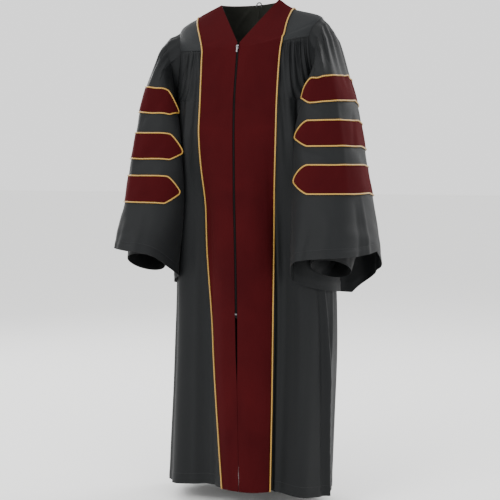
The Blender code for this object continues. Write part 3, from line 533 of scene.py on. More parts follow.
def front_grid(side, yoke):
    """Turns and rows of a front yoke, top down, or of the gathered front below it."""
    name = "left" if side > 0 else "right"
    if yoke:
        stations = np.linspace(len(STATIONS) - 1, 0, YOKE_STATIONS + 1)
        neck_row = column(STATIONS, "neck_row", stations)
        neck_turn = np.radians(column(STATIONS, "neck_turn", stations))
        edge_row = column(STATIONS, "facing_row", stations)
        edge_turn = turn_for_width(column(STATIONS, name, stations), edge_row)
        edge_turn[0] = math.pi / 2
        angles = np.linspace(0, math.pi / 2, YOKE_STATIONS + 1)
        steps = YOKE_STEPS
    else:
        angles = np.linspace(math.pi / 2, math.pi, ARMHOLE_STEPS + 1)
        edge_row = np.concatenate([armhole(angles, 1)[1], PANEL_ROWS])
        neck_row, neck_turn = edge_row, np.zeros_like(edge_row)
        widths = column(FACINGS, name, (edge_row - YOKE_ROW) / FACING_SPACING)
        edge_turn = turn_for_width(widths, edge_row)
        steps = PANEL_STEPS
    outer_turn, outer_row = armhole(angles, 1)
    if not yoke:
        outer_turn = np.concatenate([outer_turn, np.full(len(PANEL_ROWS), math.pi / 2)])
        outer_row = edge_row
    gap_turn = opening_gap(neck_row) / column(TORSO, "front", neck_row)
    neck_turn = neck_turn + gap_turn * np.cos(neck_turn)
    turns = np.concatenate(
        [spread(neck_turn, edge_turn, FACING_STEPS), spread(edge_turn, outer_turn, steps)[:, 1:]], 1
    )
    rows = np.concatenate(
        [spread(neck_row, edge_row, FACING_STEPS), spread(edge_row, outer_row, steps)[:, 1:]], 1
    )
    return side * turns, rows


def back_yoke_grid():
    """Turns and rows of the back yoke: from the neckline down, from the left shoulder to the right."""
    angles = np.linspace(0, -math.pi / 2, YOKE_STATIONS + 1)
    outer_turn, outer_row = armhole(angles, 1)
    level = np.linspace(outer_turn[-1], math.pi, YOKE_STATIONS + 1)[1:]
    turns = np.concatenate([outer_turn, level])
    feet = np.concatenate([outer_row, np.full(YOKE_STATIONS, YOKE_ROW)])
    turns = np.concatenate([turns, (2 * math.pi - turns)[-2::-1]])
    feet = np.concatenate([feet, feet[-2::-1]])
    rows = np.concatenate(
        [
            spread(np.zeros(len(turns)), np.full(len(turns), BAND_ROW), BAND_STEPS),
            spread(np.full(len(turns), BAND_ROW), feet, YOKE_STEPS)[:, 1:],
        ],
        1,
    )
    return np.repeat(turns[:, None], rows.shape[1], 1), rows


DRAG_LINE = 0.0007
DRAG_SWELL = 0.0008


def yoke_creases(turns, rows):
    """Small drag lines that run from the neck to the armhole."""
    degrees = np.degrees(turns)
    line = np.sin(degrees / 4.1 + rows * 3.3 + 1.5 * np.sin(rows * 2.0))
    broad = np.sin(degrees / 11.0 - rows * 2.2)
    middle = np.sin(np.clip(rows / YOKE_ROW, 0, 1) * math.pi)
    return DRAG_LINE * line * middle + DRAG_SWELL * broad * np.clip(rows - 0.4, 0, 1)


yoke_fronts = {}
for label, side in (("left", 1), ("right", -1)):
    turns, rows = front_grid(side, yoke=True)
    normals = torso_normal(turns, rows)
    points = torso(turns, rows)
    yoke_fronts[label] = points, normals
    edges = np.linspace(0, 1, turns.shape[1])
    calm = np.clip((edges - 0.4) * 5, 0, 1) * np.clip((1 - edges) * 6, 0, 1)
    points = points + normals * (yoke_creases(turns, rows) * calm)[..., None]
    points = trimmed(points, ("top", "foot"))
    yoke = cloth_shell(f"front_yoke_cloth_{label}", points, points - normals * CLOTH, yoke_polyester_painted_lighter)
    sewn(yoke, f"front_yoke_{label}")


NECK_SEAM = 0.0016
NECK_WRINKLE = 0.0022


def neck_crease(turns, rows):
    """The raised seam down the middle of the yoke's inside, and a slanting wrinkle beside it."""
    degrees = np.degrees(turns)
    seam = np.exp(-(((degrees - 180) / 1.1) ** 2)) * np.clip(rows / 0.3, 0, 1)
    slant = np.exp(-(((degrees - 196 - 14 * rows) / 3.5) ** 2)) * np.sin(np.clip(rows / 1.6, 0, 1) * math.pi)
    return NECK_SEAM * seam + NECK_WRINKLE * slant


turns, rows = back_yoke_grid()
back_yoke_normals = torso_normal(turns, rows)
back_yoke_points = torso(turns, rows)
edges = np.linspace(0, 1, turns.shape[1])
calm = np.clip((edges - 0.3) * 4, 0, 1) * np.clip((1 - edges) * 6, 0, 1)
points = back_yoke_points + back_yoke_normals * (yoke_creases(turns, rows) * calm)[..., None]
points = trimmed(points, ("top", "foot", "end"))
lining = points - back_yoke_normals * (CLOTH + neck_crease(turns, rows))[..., None]
yoke = cloth_shell("back_yoke_cloth", points, lining, yoke_polyester_painted_lighter, facing_inside=yoke_inside_painted_lighter)
sewn(yoke, "back_yoke")


# Gathered fronts and back: long panels whose upper edge is drawn up on a thread and sewn to the
# yokes. The gathers open below the seam and run out by the waist; long folds fall to the hem.

FRONT_GATHERS = 6
BACK_GATHERS = 18
GATHER_DEPTH = 0.0034
PUCKER_DEPTH = 0.0017
HEM_HEIGHT = 0.030
HEM_SWELL = 0.0007
HEM_EDGE = 0.004
STITCH_RUN = 0.0025
STITCH_DIP = 0.0008
SEAM_DIP = 0.0015


def gathers(share, row, count):
    """Gathers of uneven width and length below the yoke, with small puckers along the seam."""
    rise = np.clip((row - YOKE_ROW) / 0.38, 0, 1)
    fade = np.clip((5.4 - row) / 2.0, 0, 1)
    ends = np.clip(np.minimum(share, 1 - share) * 8, 0, 1)
    drift = 0.16 * np.sin(5.3 * share * math.pi + 0.7) + 0.05 * np.sin(count * 1.9 * share + 1.0)
    wide = np.cos(2 * math.pi * (count * share + drift)) * (0.8 + 0.35 * np.sin(count * 2.3 * share + 0.4))
    folded = GATHER_DEPTH * wide * rise * fade * ends
    start = np.clip((row - YOKE_ROW) / 0.12, 0, 1)
    short = np.exp(-(((row - YOKE_ROW) / (0.50 + 0.22 * np.sin(share * count * 3.7))) ** 2))
    puckers = np.cos(2 * math.pi * (2.35 * count * share + 0.4 * np.sin(9 * share))) * ends
    return folded + PUCKER_DEPTH * puckers * start * short


def hem_turn(above, height, swell):
    """A double hem of this height stands out a little and draws in at its stitching."""
    stitch = np.exp(-(((above - height) / STITCH_RUN) ** 2))
    return swell * np.clip((height - above) / HEM_EDGE, 0, 1) - STITCH_DIP * stitch


def body_panel(turns, rows, share, count):
    """Outer points of a gathered panel and its plain normals."""
    normals = torso_normal(turns, rows)
    plain = torso(turns, rows)
    depth = fold_depth(turns, rows) + fold_depth(turns, rows, CREASES) + ripple(turns, rows)
    above = plain[..., 2] - plain[-1:, :, 2]
    depth = depth + gathers(share, rows, count) + hem_turn(above, HEM_HEIGHT, HEM_SWELL)
    depth = depth - SEAM_DIP * np.exp(-(((rows - YOKE_ROW) / 0.035) ** 2)) * np.clip(share * 30, 0, 1)
    return plain + normals * depth[..., None], normals


fronts = {}
for label, side in (("left", 1), ("right", -1)):
    turns, rows = front_grid(side, yoke=False)
    share = np.zeros_like(turns)
    share[:, FACING_STEPS:] = np.linspace(0, 1, PANEL_STEPS + 1)
    points, normals = body_panel(turns, rows, share, FRONT_GATHERS)
    fronts[label] = points, normals
    points = trimmed(points, ("top",))
    panel = cloth_shell(f"front_cloth_{label}", points, points - normals * CLOTH, black_polyester)
    sewn(panel, f"front_panel_{label}")


def back_grid():
    """Turns and rows of the gathered back, top down, from the left side to the right."""
    angles = np.linspace(-math.pi / 2, -math.pi, ARMHOLE_STEPS + 1)
    edge_turn, edge_row = armhole(angles, 1)
    rows = np.concatenate([edge_row, PANEL_ROWS])
    edge_turn = np.concatenate([edge_turn, np.full(len(PANEL_ROWS), math.pi / 2)])
    turns = spread(edge_turn, 2 * math.pi - edge_turn, BACK_STEPS)
    return turns, np.repeat(rows[:, None], turns.shape[1], 1)


turns, rows = back_grid()
share = np.repeat(np.linspace(0, 1, BACK_STEPS + 1)[None], len(turns), 0)
back_points, back_normals = body_panel(turns, rows, share, BACK_GATHERS)
points = trimmed(back_points, ("top",))
panel = cloth_shell("back_cloth", points, points - back_normals * CLOTH, black_polyester)
sewn(panel, "back_panel")


# Bell sleeves: the same cloth, gathered into the armhole at the shoulder, widening to a slanted
# open mouth with a double hem. Each section is one level of both sleeves; the outer and inner x of
# each are measured away from the body's middle, and the heights are shared.

Section = namedtuple(
    "Section",
    "out_left out_right z_out in_left in_right z_in"
    " x_mid y_mid y_front z_front y_back z_back rise gather wave margin",
)
HEAD = Section(
    0.229, 0.233, -0.084, 0.218, 0.218, -0.284,
    0.213, 0.002, -0.071, -0.155, 0.076, -0.168, 0.010, 0.0022, 0, 0.0022,
)
CAP = Section(
    0.250, 0.256, -0.119, 0.212, 0.212, -0.298,
    0.223, 0.000, -0.096, -0.182, 0.088, -0.194, 0.008, 0.0040, 0, 0.0050,
)
UPPER_TOP = Section(
    0.286, 0.292, -0.222, 0.184, 0.184, -0.324,
    0.234, -0.008, -0.124, -0.234, 0.099, -0.252, 0.008, 0.0014, 0, 0.006,
)
UPPER_FOOT = Section(
    0.308, 0.312, -0.288, 0.166, 0.164, -0.358,
    0.238, -0.016, -0.136, -0.297, 0.103, -0.316, 0.010, 0, 0, 0.006,
)
MIDDLE_TOP = Section(
    0.320, 0.324, -0.351, 0.155, 0.152, -0.400,
    0.240, -0.024, -0.143, -0.353, 0.104, -0.374, 0.014, 0, 0, 0.006,
)
MIDDLE_FOOT = Section(
    0.333, 0.335, -0.418, 0.154, 0.150, -0.452,
    0.243, -0.033, -0.151, -0.418, 0.104, -0.438, 0.016, 0, 0, 0.006,
)
LOWER_TOP = Section(
    0.343, 0.341, -0.471, 0.155, 0.150, -0.498,
    0.247, -0.040, -0.160, -0.471, 0.104, -0.488, 0.015, 0, 0, 0.006,
)
LOWER_FOOT = Section(
    0.358, 0.348, -0.541, 0.157, 0.152, -0.569,
    0.254, -0.050, -0.176, -0.542, 0.106, -0.566, 0.014, 0, 0.0008, 0.006,
)
FLARE = Section(
    0.374, 0.352, -0.609, 0.162, 0.160, -0.645,
    0.262, -0.060, -0.204, -0.618, 0.112, -0.672, 0.006, 0, 0.0022, 0.006,
)
LOW_FLARE = Section(
    0.384, 0.352, -0.648, 0.165, 0.168, -0.715,
    0.266, -0.067, -0.223, -0.656, 0.116, -0.744, 0.001, 0, 0.0032, 0.0085,
)
MOUTH = Section(
    0.388, 0.350, -0.680, 0.168, 0.174, -0.782,
    0.270, -0.075, -0.240, -0.693, 0.118, -0.817, -0.003, 0, 0.0038, 0.0095,
)
SLEEVE = (
    HEAD, CAP, UPPER_TOP, UPPER_FOOT, MIDDLE_TOP, MIDDLE_FOOT, LOWER_TOP, LOWER_FOOT, FLARE, LOW_FLARE, MOUTH
)
SLEEVE_POWER = 2.5
SLEEVE_GATHERS = 16
SLEEVE_WAVES = 5
SLEEVE_COLUMNS = 144
ROWS_A_SECTION = 10
SLEEVE_HEM = 0.022
SLEEVE_HEM_SWELL = 0.0006
SLEEVE_REACH = 0.13
SLEEVE_SWELL = 0.0016
SLEEVE_RIPPLE = 0.0007

# Creases of the sleeves: where they start and end, in degrees round the sleeve (0 outer edge,
# 90 front) and levels down it, half width and depth in metres, outwards if positive
SleeveCrease = namedtuple("SleeveCrease", "name from_turn from_level to_turn to_level half_width depth")
SLEEVE_CREASES = {
    "left": (
        SleeveCrease("bright line on the bell", 20, 8.0, 16, 11.2, 0.007, 0.0045),
        SleeveCrease("trough beside it", 33, 8.2, 30, 11.2, 0.012, -0.0050),
        SleeveCrease("front bell ridge", 78, 8.6, 84, 11.2, 0.016, 0.0055),
        SleeveCrease("front bell trough", 100, 8.8, 110, 11.2, 0.014, -0.0060),
        SleeveCrease("head line", 46, 0.4, 50, 2.6, 0.005, -0.0050),
        SleeveCrease("head fold", 66, 0.5, 74, 3.0, 0.007, 0.0045),
        SleeveCrease("crease over the upper bar", 112, 2.2, 74, 3.3, 0.010, -0.0055),
        SleeveCrease("crease from the underarm", 120, 3.6, 70, 4.6, 0.010, -0.0035),
        SleeveCrease("elbow crease", 115, 6.2, 60, 6.9, 0.011, -0.0030),
        SleeveCrease("long soft ridge", 52, 2.4, 48, 8.2, 0.016, 0.0028),
        SleeveCrease("outer dent", 8, 4.3, 22, 6.2, 0.013, -0.0030),
        SleeveCrease("back crease", -62, 2.6, -50, 6.5, 0.014, -0.0045),
        SleeveCrease("back ridge", -84, 3.5, -78, 10.8, 0.016, 0.0040),
        SleeveCrease("back bell trough", -48, 8.2, -40, 11.2, 0.016, -0.0050),
    ),
    "right": (
        SleeveCrease("head line", 60, 0.4, 66, 2.2, 0.005, -0.0050),
        SleeveCrease("head light fold", 30, 0.6, 24, 2.8, 0.007, 0.0050),
        SleeveCrease("head inner fold", 84, 0.5, 92, 2.8, 0.006, 0.0040),
        SleeveCrease("crease from the underarm", 118, 3.3, 66, 4.4, 0.011, -0.0040),
        SleeveCrease("elbow crease", 112, 5.4, 58, 6.4, 0.011, -0.0035),
        SleeveCrease("long soft ridge", 58, 2.4, 60, 8.4, 0.017, 0.0026),
        SleeveCrease("bell ridge", 40, 8.4, 34, 11.2, 0.014, 0.0050),
        SleeveCrease("bell trough", 62, 8.5, 64, 11.2, 0.016, -0.0055),
        SleeveCrease("bell inner ridge", 92, 8.4, 98, 11.2, 0.015, 0.0050),
        SleeveCrease("outer bell line", 10, 8.6, 2, 11.2, 0.010, -0.0040),
        SleeveCrease("back crease", -58, 2.8, -66, 6.4, 0.014, -0.0045),
        SleeveCrease("back ridge", -80, 3.2, -88, 10.8, 0.016, 0.0040),
        SleeveCrease("back bell trough", -42, 8.4, -50, 11.2, 0.016, -0.0050),
    ),
}


SOFT_TOUCH = 0.004


def clear_of_body(points, margin):
    """Sleeve points moved out so that they lie against the body and never in it."""
    rows = np.linspace(UNDERARM_ROW, HEM_ROW, 200)
    row = np.interp(-points[..., 2], -column(TORSO, "z_side", rows), rows)
    middle = np.stack([column(TORSO, "centre_x", row), column(TORSO, "centre_y", row)], -1)
    away = points[..., :2] - middle
    turn = np.arctan2(away[..., 0], -away[..., 1])
    surface = torso(turn, row) + torso_normal(turn, row) * fold_depth(turn, row)[..., None]
    body = np.linalg.norm(surface[..., :2] - middle, axis=-1)
    reach = np.linalg.norm(away, axis=-1)
    need = body + margin
    pushed = need + SOFT_TOUCH * np.logaddexp(0, (reach - need) / SOFT_TOUCH)
    moved = points.copy()
    moved[..., :2] = middle + away * (pushed / reach)[..., None]
    return moved


def sleeve_crease_depth(label, turn, level):
    """How far the creases of one sleeve stand out, at these turns in radians and levels."""
    down = column(SLEEVE, "z_front", level - 1)
    quick = np.sin(turn * 9 + level * 2.6 + 1.4 * np.sin(turn * 4))
    total = SLEEVE_SWELL * np.sin(turn * 3 + level * 1.1) * np.sin(level * 0.9 + turn)
    total = total + SLEEVE_RIPPLE * quick * np.sin(level * 3.1 - turn * 2)
    for crease in SLEEVE_CREASES[label]:
        ends = np.radians([crease.from_turn, crease.to_turn])
        heights = column(SLEEVE, "z_front", np.array([crease.from_level, crease.to_level]) - 1)
        way = np.array([(ends[1] - ends[0]) * SLEEVE_REACH, heights[1] - heights[0]])
        off = (turn - ends[0] + math.pi) % (2 * math.pi) - math.pi
        place = np.stack(np.broadcast_arrays(off * SLEEVE_REACH, down - heights[0]), -1)
        share = np.clip(place @ way / (way @ way), 0, 1)
        away = np.linalg.norm(place - share[..., None] * way, axis=-1)
        strength = np.sin(np.clip(share, 0, 1) * math.pi) ** 0.6 if crease.to_level < 11 else share**0.5
        total = total + crease.depth * strength * np.exp(-((away / crease.half_width) ** 2))
    return total * np.clip(level / 0.8, 0, 1)


def sleeve_surface(side):
    """Outer points and normals of a sleeve, with a row for each tenth of a level."""
    label = "left" if side > 0 else "right"
    turns = np.linspace(0, 2 * math.pi, SLEEVE_COLUMNS, endpoint=False)
    cosine, sine = np.cos(turns), np.sin(turns)
    square = 2 / SLEEVE_POWER
    shares = {
        "out": np.maximum(cosine, 0) ** square,
        "in": np.maximum(-cosine, 0) ** square,
        "front": np.maximum(sine, 0) ** square,
        "back": np.maximum(-sine, 0) ** square,
    }
    levels = np.linspace(1, len(SLEEVE), (len(SLEEVE) - 1) * ROWS_A_SECTION + 1)
    at = {name: column(SLEEVE, name, levels - 1) for name in Section._fields}
    middle = np.stack([at["x_mid"], at["y_mid"], (at["z_front"] + at["z_back"]) / 2], -1)
    rails = {
        "out": np.stack([at[f"out_{label}"], at["y_mid"], at["z_out"]], -1),
        "in": np.stack([at[f"in_{label}"], at["y_mid"], middle[:, 2]], -1),
        "front": np.stack([at["x_mid"], at["y_front"], at["z_front"]], -1),
        "back": np.stack([at["x_mid"], at["y_back"], at["z_back"]], -1),
    }
    rings = middle[:, None] + sum(shares[name][:, None] * (rails[name] - middle)[:, None] for name in rails)
    droop = (at["z_in"] - middle[:, 2])[:, None] * np.maximum(-cosine, 0) ** 4
    crowded = np.maximum(sum(shares.values()), 1) ** (np.clip(levels - 2, 0, 1)[:, None] * (cosine > 0))
    level = (rings[..., 2] - middle[:, None, 2]) / crowded
    rings[..., 2] = middle[:, None, 2] + level + droop + side * at["rise"][:, None]
    rings[..., 0] *= side
    rings = np.stack([clear_of_body(ring, margin) for ring, margin in zip(rings, at["margin"])])

    corner_turn, corner_row = armhole(turns, side)
    seam = torso(corner_turn, corner_row)
    seam = seam + unit(seam.mean(0) - seam) * 2 * SEAM
    head = np.linspace(0, 1, ROWS_A_SECTION + 1)[:-1, None, None]
    smooth = np.concatenate([seam * (1 - head) + rings[0] * head, rings])
    levels = np.concatenate([head[:, 0, 0], levels])[:, None]

    around = np.roll(smooth, -1, 1) - np.roll(smooth, 1, 1)
    normals = unit(np.cross(around, np.gradient(smooth, axis=0))) * side
    if (normals[4 * ROWS_A_SECTION, 0, 0] > 0) != (side > 0):
        normals = -normals
    at_edge = np.clip(levels, 1, None) - 1
    gathered = np.cos(SLEEVE_GATHERS * turns + 0.9 * np.sin(3 * turns))
    uneven = (0.85 + 0.3 * np.sin(5 * turns + 1)) * np.clip(0.3 + cosine, 0, 1)
    ripples = column(SLEEVE, "gather", at_edge) * np.clip(levels, 0, 1) * gathered * uneven
    waved = np.cos(SLEEVE_WAVES * turns + 0.8) * np.clip(0.6 + cosine, 0, 1)
    waves = column(SLEEVE, "wave", at_edge) * waved
    above = np.linalg.norm(smooth - smooth[-1:], axis=-1)
    hem = hem_turn(above, SLEEVE_HEM, SLEEVE_HEM_SWELL)
    free = np.clip(0.75 + cosine + np.abs(sine) * 0.5, 0, 1)
    depth = ripples + waves + hem + sleeve_crease_depth(label, turns, levels) * free
    return smooth + normals * depth[..., None], normals


sleeve_forms = {}
for label, side in (("left", 1), ("right", -1)):
    points, normals = sleeve_surface(side)
    sleeve_forms[label] = points, normals
    inner = points - normals * CLOTH
    sleeve = cloth_shell(f"sleeve_cloth_{label}", points, inner, black_polyester, closed=True)
    sewn(sleeve, f"sleeve_{label}")


# Inner cuffs: a funnel of the same cloth sewn inside each sleeve at the foot of the lower bar. It
# narrows to a round wrist opening with a narrow hem, seen in the dark of the bell.

CUFF_LEVEL = 8
CUFF_CENTRE = (0.275, -0.112, -0.730)
CUFF_RADIUS = 0.054
CUFF_TILT = math.radians(30)
CUFF_ROWS = 40
CUFF_TOP_GAP = 0.0006
CUFF_CLEARANCE = 0.0165
CUFF_PLEATS = 11
CUFF_PLEAT_DEPTH = 0.0022
CUFF_SAG = 0.012
CUFF_HOLLOW = 0.002
CUFF_RIM = 0.0012

lining_cloth = gown_cloth("black_polyester_inside_bell", "#0e0f10", "#141516")
cuff_forms = {}
for label, side in (("left", 1), ("right", -1)):
    points, normals = sleeve_forms[label]
    ring_row = CUFF_LEVEL * ROWS_A_SECTION
    turns = np.linspace(0, 2 * math.pi, SLEEVE_COLUMNS, endpoint=False)
    front = np.array([0, -math.cos(CUFF_TILT), math.sin(CUFF_TILT)])
    mouth = np.array(CUFF_CENTRE) + CUFF_RADIUS * (
        np.cos(turns)[:, None] * np.array([1.0, 0, 0]) + np.sin(turns)[:, None] * front
    )
    mouth[:, 0] *= side
    top = points[ring_row] - normals[ring_row] * (CLOTH + CUFF_TOP_GAP)
    shares = np.linspace(0, 1, CUFF_ROWS + 1)[:, None, None]
    by_axis = shares ** np.array([0.6, 1.4, 1.0])
    sag = np.array([0, 0, -CUFF_SAG]) * np.sin(math.pi * shares)
    grid = top * (1 - by_axis) + mouth * by_axis + sag
    pressed = clear_of_body(grid, CUFF_CLEARANCE)
    ease = np.clip(shares / 0.25, 0, 1)
    grid = grid * (1 - ease) + pressed * ease
    around = np.roll(grid, -1, 1) - np.roll(grid, 1, 1)
    normals = unit(np.cross(around, np.gradient(grid, axis=0)))
    if (normals[CUFF_ROWS // 2, 0, 0] > 0) != (side > 0):
        normals = -normals
    belly = np.sin(math.pi * shares[..., 0])
    pleats = CUFF_PLEAT_DEPTH * np.cos(CUFF_PLEATS * turns + np.sin(2 * turns)) * belly**0.7
    rim = CUFF_RIM * np.exp(-(((1 - shares[..., 0]) / 0.05) ** 2))
    grid = grid + normals * (pleats - CUFF_HOLLOW * belly + rim)[..., None]
    cuff_forms[label] = grid, normals
    cuff = cloth_shell(f"cuff_cloth_{label}", grid, grid - normals * CLOTH, lining_cloth, closed=True)
    sewn(cuff, f"inner_cuff_{label}")


# Velvet: facings down both front edges, a band across the back of the neck, and three bars on
# each sleeve. It is cut-pile cotton velvet, dark where seen straight on; the lighter colour where it turns
# is a painted sheen.

VELVET = 0.0017
VELVET_LIFT = 0.0003
PILE_REPEAT = 0.0022


def cut_pile_velvet():
    """Short dense pile: the shade drifts with its lie, and a painted sheen lightens its colour at the edges
    that turn away.

    The real tufts are 0.4 mm apart, so the grain is drawn at 2.2 mm.
    """
    made, tree, shader = new_material("maroon_cotton_velvet")
    place = node(tree, "ShaderNodeUVMap", {"uv_map": "cloth_metres"}).outputs["UV"]
    lie = node(
        tree, "ShaderNodeTexNoise", Vector=place, Scale=7.0, Detail=3.0, Roughness=0.5, Distortion=0.4
    )
    tufts = node(tree, "ShaderNodeTexNoise", Vector=place, Scale=1 / PILE_REPEAT, Detail=2.0, Roughness=0.7)
    mixed = arithmetic(tree, "MULTIPLY_ADD", tufts.outputs[0], 0.45, lie.outputs[0])
    span = node(tree, "ShaderNodeMapRange", Value=mixed, From_Min=0.5, From_Max=0.95)
    tint = blend(tree, span.outputs[0], linear("#2c0306"), linear("#360609"))
    # Painted sheen: the colour is lightened towards the edges where the surface turns from the camera.
    edge = node(tree, "ShaderNodeLayerWeight", Blend=0.35)
    painted_sheen_share = arithmetic(tree, "MULTIPLY", edge.outputs["Facing"], 0.35)
    sheen_painted_tint = blend(tree, painted_sheen_share, tint, linear("#541216"))
    bump = node(tree, "ShaderNodeBump", Strength=0.5, Distance=0.0009, Height=tufts.outputs[0])
    feed(tree, shader, Base_Color=sheen_painted_tint, Normal=bump.outputs[0])
    feed(tree, shader, Roughness=0.92, Specular_IOR_Level=0.08)
    feed(tree, shader, Sheen_Weight=0.06, Sheen_Roughness=0.35, Sheen_Tint=linear("#8a3032"))
    return made


maroon_velvet = cut_pile_velvet()


def velvet_piece(name, points, normals, replaced):
    """A velvet piece on the cloth below it."""
    lower = points + normals * VELVET_LIFT
    upper = points + normals * (VELVET_LIFT + VELVET)
    piece = cloth_shell(name, upper, lower, maroon_velvet)
    sewn(piece, replaced)


facing_edges = {}
for label in ("left", "right"):
    yoke_points, yoke_normals = yoke_fronts[label]
    panel_points, panel_normals = fronts[label]
    under = slice(0, FACING_STEPS + 1)
    strip = np.concatenate([yoke_points[:-1, under], panel_points[:, under]])
    strip_normals = np.concatenate([yoke_normals[:-1, under], panel_normals[:, under]])
    beyond = np.concatenate([yoke_points[:-1, FACING_STEPS + 1], panel_points[:, FACING_STEPS + 1]])
    facing_edges[label] = strip[:, -1], beyond, strip_normals[:, -1]
    velvet_piece(
        f"facing_velvet_{label}",
        trimmed(strip, ("top",)),
        strip_normals,
        f"velvet_facing_{label}",
    )

band = slice(0, BAND_STEPS + 1)
velvet_piece(
    "neck_band_velvet",
    trimmed(back_yoke_points[:, band], ("top", "foot")),
    back_yoke_normals[:, band],
    "velvet_neck_band",
)


# Velvet bars: three on each sleeve, wrapped round it from back to front and pointed at both ends.
# BAR_REACH is how far one goes behind and in front of the sleeve's outer edge, and BAR_SHOULDER how
# long its two points are, in steps of BAR_STEP round the sleeve.

BAR_LEVELS = {"upper": (3, 4), "middle": (5, 6), "lower": (7, 8)}
BAR_REACH = {"left": (9.8, 11.8), "right": (9.8, 12.8)}
BAR_STEP = 2 * math.pi / 32
BAR_SHOULDER = {"left": (2.8, 2.8), "right": (2.8, 2.1)}
BAR_TIP_SHARE = 0.46
BAR_TAPER_POWER = 1.15
BAR_COLUMNS = 130
BAR_ROWS = 8


def on_grid(grid, turn, level):
    """Points of a sleeve's grid at any turn and level, between its nearest points."""
    across = (turn / (2 * math.pi) * SLEEVE_COLUMNS) % SLEEVE_COLUMNS
    down = np.clip(level * ROWS_A_SECTION, 0, len(grid) - 1.001)
    left, top = np.floor(across).astype(int), np.floor(down).astype(int)
    a, b = (across - left)[..., None], (down - top)[..., None]
    right = (left + 1) % SLEEVE_COLUMNS
    left = left % SLEEVE_COLUMNS
    upper = grid[top, left] * (1 - a) + grid[top, right] * a
    lower = grid[top + 1, left] * (1 - a) + grid[top + 1, right] * a
    return upper * (1 - b) + lower * b


def bar_places(levels, behind, before, back_shoulder, front_shoulder):
    """Turns and levels of a bar: full height along its middle, narrowing to both its points."""
    turn = np.linspace(-behind, before, BAR_COLUMNS + 1)
    reach = np.minimum((turn + behind) / back_shoulder, (before - turn) / front_shoulder)
    taper = BAR_TIP_SHARE * np.clip(1 - reach, 0, 1) ** BAR_TAPER_POWER
    share = np.linspace(taper, 1 - taper, BAR_ROWS + 1)
    return np.broadcast_to(turn * BAR_STEP, share.shape), levels[0] + (levels[1] - levels[0]) * share


bar_outlines = {}
for label in ("left", "right"):
    grid, grid_normals = sleeve_forms[label]
    for place, levels in BAR_LEVELS.items():
        turn, level = bar_places(levels, *BAR_REACH[label], *BAR_SHOULDER[label])
        points, normals = on_grid(grid, turn, level), unit(on_grid(grid_normals, turn, level))
        velvet_piece(
            f"bar_velvet_{place}_{label}",
            points,
            normals,
            f"bar_{place}_{label}",
        )
        outline = np.concatenate([points[0], points[-1][::-1]])
        outline_normals = np.concatenate([normals[0], normals[-1][::-1]])
        bar_outlines[f"{place}_{label}"] = outline, outline_normals


# Gold piping: a satin bias strip folded round a soft cord and sewn along the outer edge of every
# velvet piece. Its satin threads run slantwise; their shine is painted as fine pale lines round the cord.

PIPING_RADIUS = 0.0020
PIPING_SIDES = 12
PIPING_STEP = 0.0025
PIPING_INSET = 0.0026
PIPING_STAND = 0.0010
BAR_PIPING_STAND = 0.0006
TWIST_REPEAT = 0.0050


def gold_satin():
    """Satin bias piping in deep gold, with painted highlights as pale slanted lines round the cord, and
    slanted folds.
    """
    made, tree, shader = new_material("gold_satin_piping")
    along = node(tree, "ShaderNodeAttribute", {"attribute_name": "along"}).outputs["Fac"]
    round_it = node(tree, "ShaderNodeAttribute", {"attribute_name": "round"}).outputs["Fac"]
    turns = arithmetic(tree, "MULTIPLY_ADD", along, 1 / TWIST_REPEAT, round_it)
    lines = arithmetic(tree, "SINE", arithmetic(tree, "MULTIPLY", turns, 2 * math.pi))
    # Painted highlight: the colour runs from deep gold to pale gold along the slanted lines.
    share = arithmetic(tree, "MULTIPLY_ADD", lines, 0.28, 0.5)
    tint = blend(tree, share, linear("#7d5510"), linear("#b9933c"))
    bump = node(tree, "ShaderNodeBump", Strength=0.4, Distance=0.0004, Height=lines)
    feed(tree, shader, Base_Color=tint, Normal=bump.outputs[0], Roughness=0.42, Sheen_Weight=0.05)
    return made


gold_piping = gold_satin()


def node_tree(name, inputs):
    """A new geometry node tree with its named inputs, its first and its last node."""
    tree = bpy.data.node_groups.new(name, "GeometryNodeTree")
    tree.interface.new_socket("Geometry", in_out="INPUT", socket_type="NodeSocketGeometry")
    for label, kind in inputs.items():
        tree.interface.new_socket(label, in_out="INPUT", socket_type=kind)
    tree.interface.new_socket("Geometry", in_out="OUTPUT", socket_type="NodeSocketGeometry")
    return tree, tree.nodes.new("NodeGroupInput"), tree.nodes.new("NodeGroupOutput")


def stored(tree, geometry, name, value):
    """Keeps a value of each point under a name that a material can read."""
    settings = {"data_type": "FLOAT", "domain": "POINT"}
    inputs = {"Geometry": geometry, "Name": name, "Value": value}
    return node(tree, "GeometryNodeStoreNamedAttribute", settings, **inputs).outputs["Geometry"]


def end_tree(tree, geometry, finish, result):
    """Makes every instance real, gives it the finish and ends the tree."""
    real = node(tree, "GeometryNodeRealizeInstances", Geometry=geometry).outputs["Geometry"]
    finished = node(tree, "GeometryNodeSetMaterial", Geometry=real, Material=finish)
    tree.links.new(finished.outputs["Geometry"], result.inputs[0])


def piping_tree():
    """Runs a round cord along a curve, and keeps how far along and round it each point lies."""
    tree, given, result = node_tree(
        "piping_along_edge",
        {"Radius": "NodeSocketFloat", "Sides": "NodeSocketInt", "Finish": "NodeSocketMaterial"},
    )
    length = node(tree, "GeometryNodeSplineParameter").outputs["Length"]
    path = stored(tree, given.outputs["Geometry"], "along", length)
    ring = node(
        tree,
        "GeometryNodeCurvePrimitiveCircle",
        Resolution=given.outputs["Sides"],
        Radius=given.outputs["Radius"],
    )
    factor = node(tree, "GeometryNodeSplineParameter").outputs["Factor"]
    profile = stored(tree, ring.outputs["Curve"], "round", factor)
    tube = node(tree, "GeometryNodeCurveToMesh", Curve=path, Profile_Curve=profile, Fill_Caps=True)
    smooth = node(tree, "GeometryNodeSetShadeSmooth", Geometry=tube.outputs["Mesh"])
    end_tree(tree, smooth.outputs["Geometry"], given.outputs["Finish"], result)
    return tree


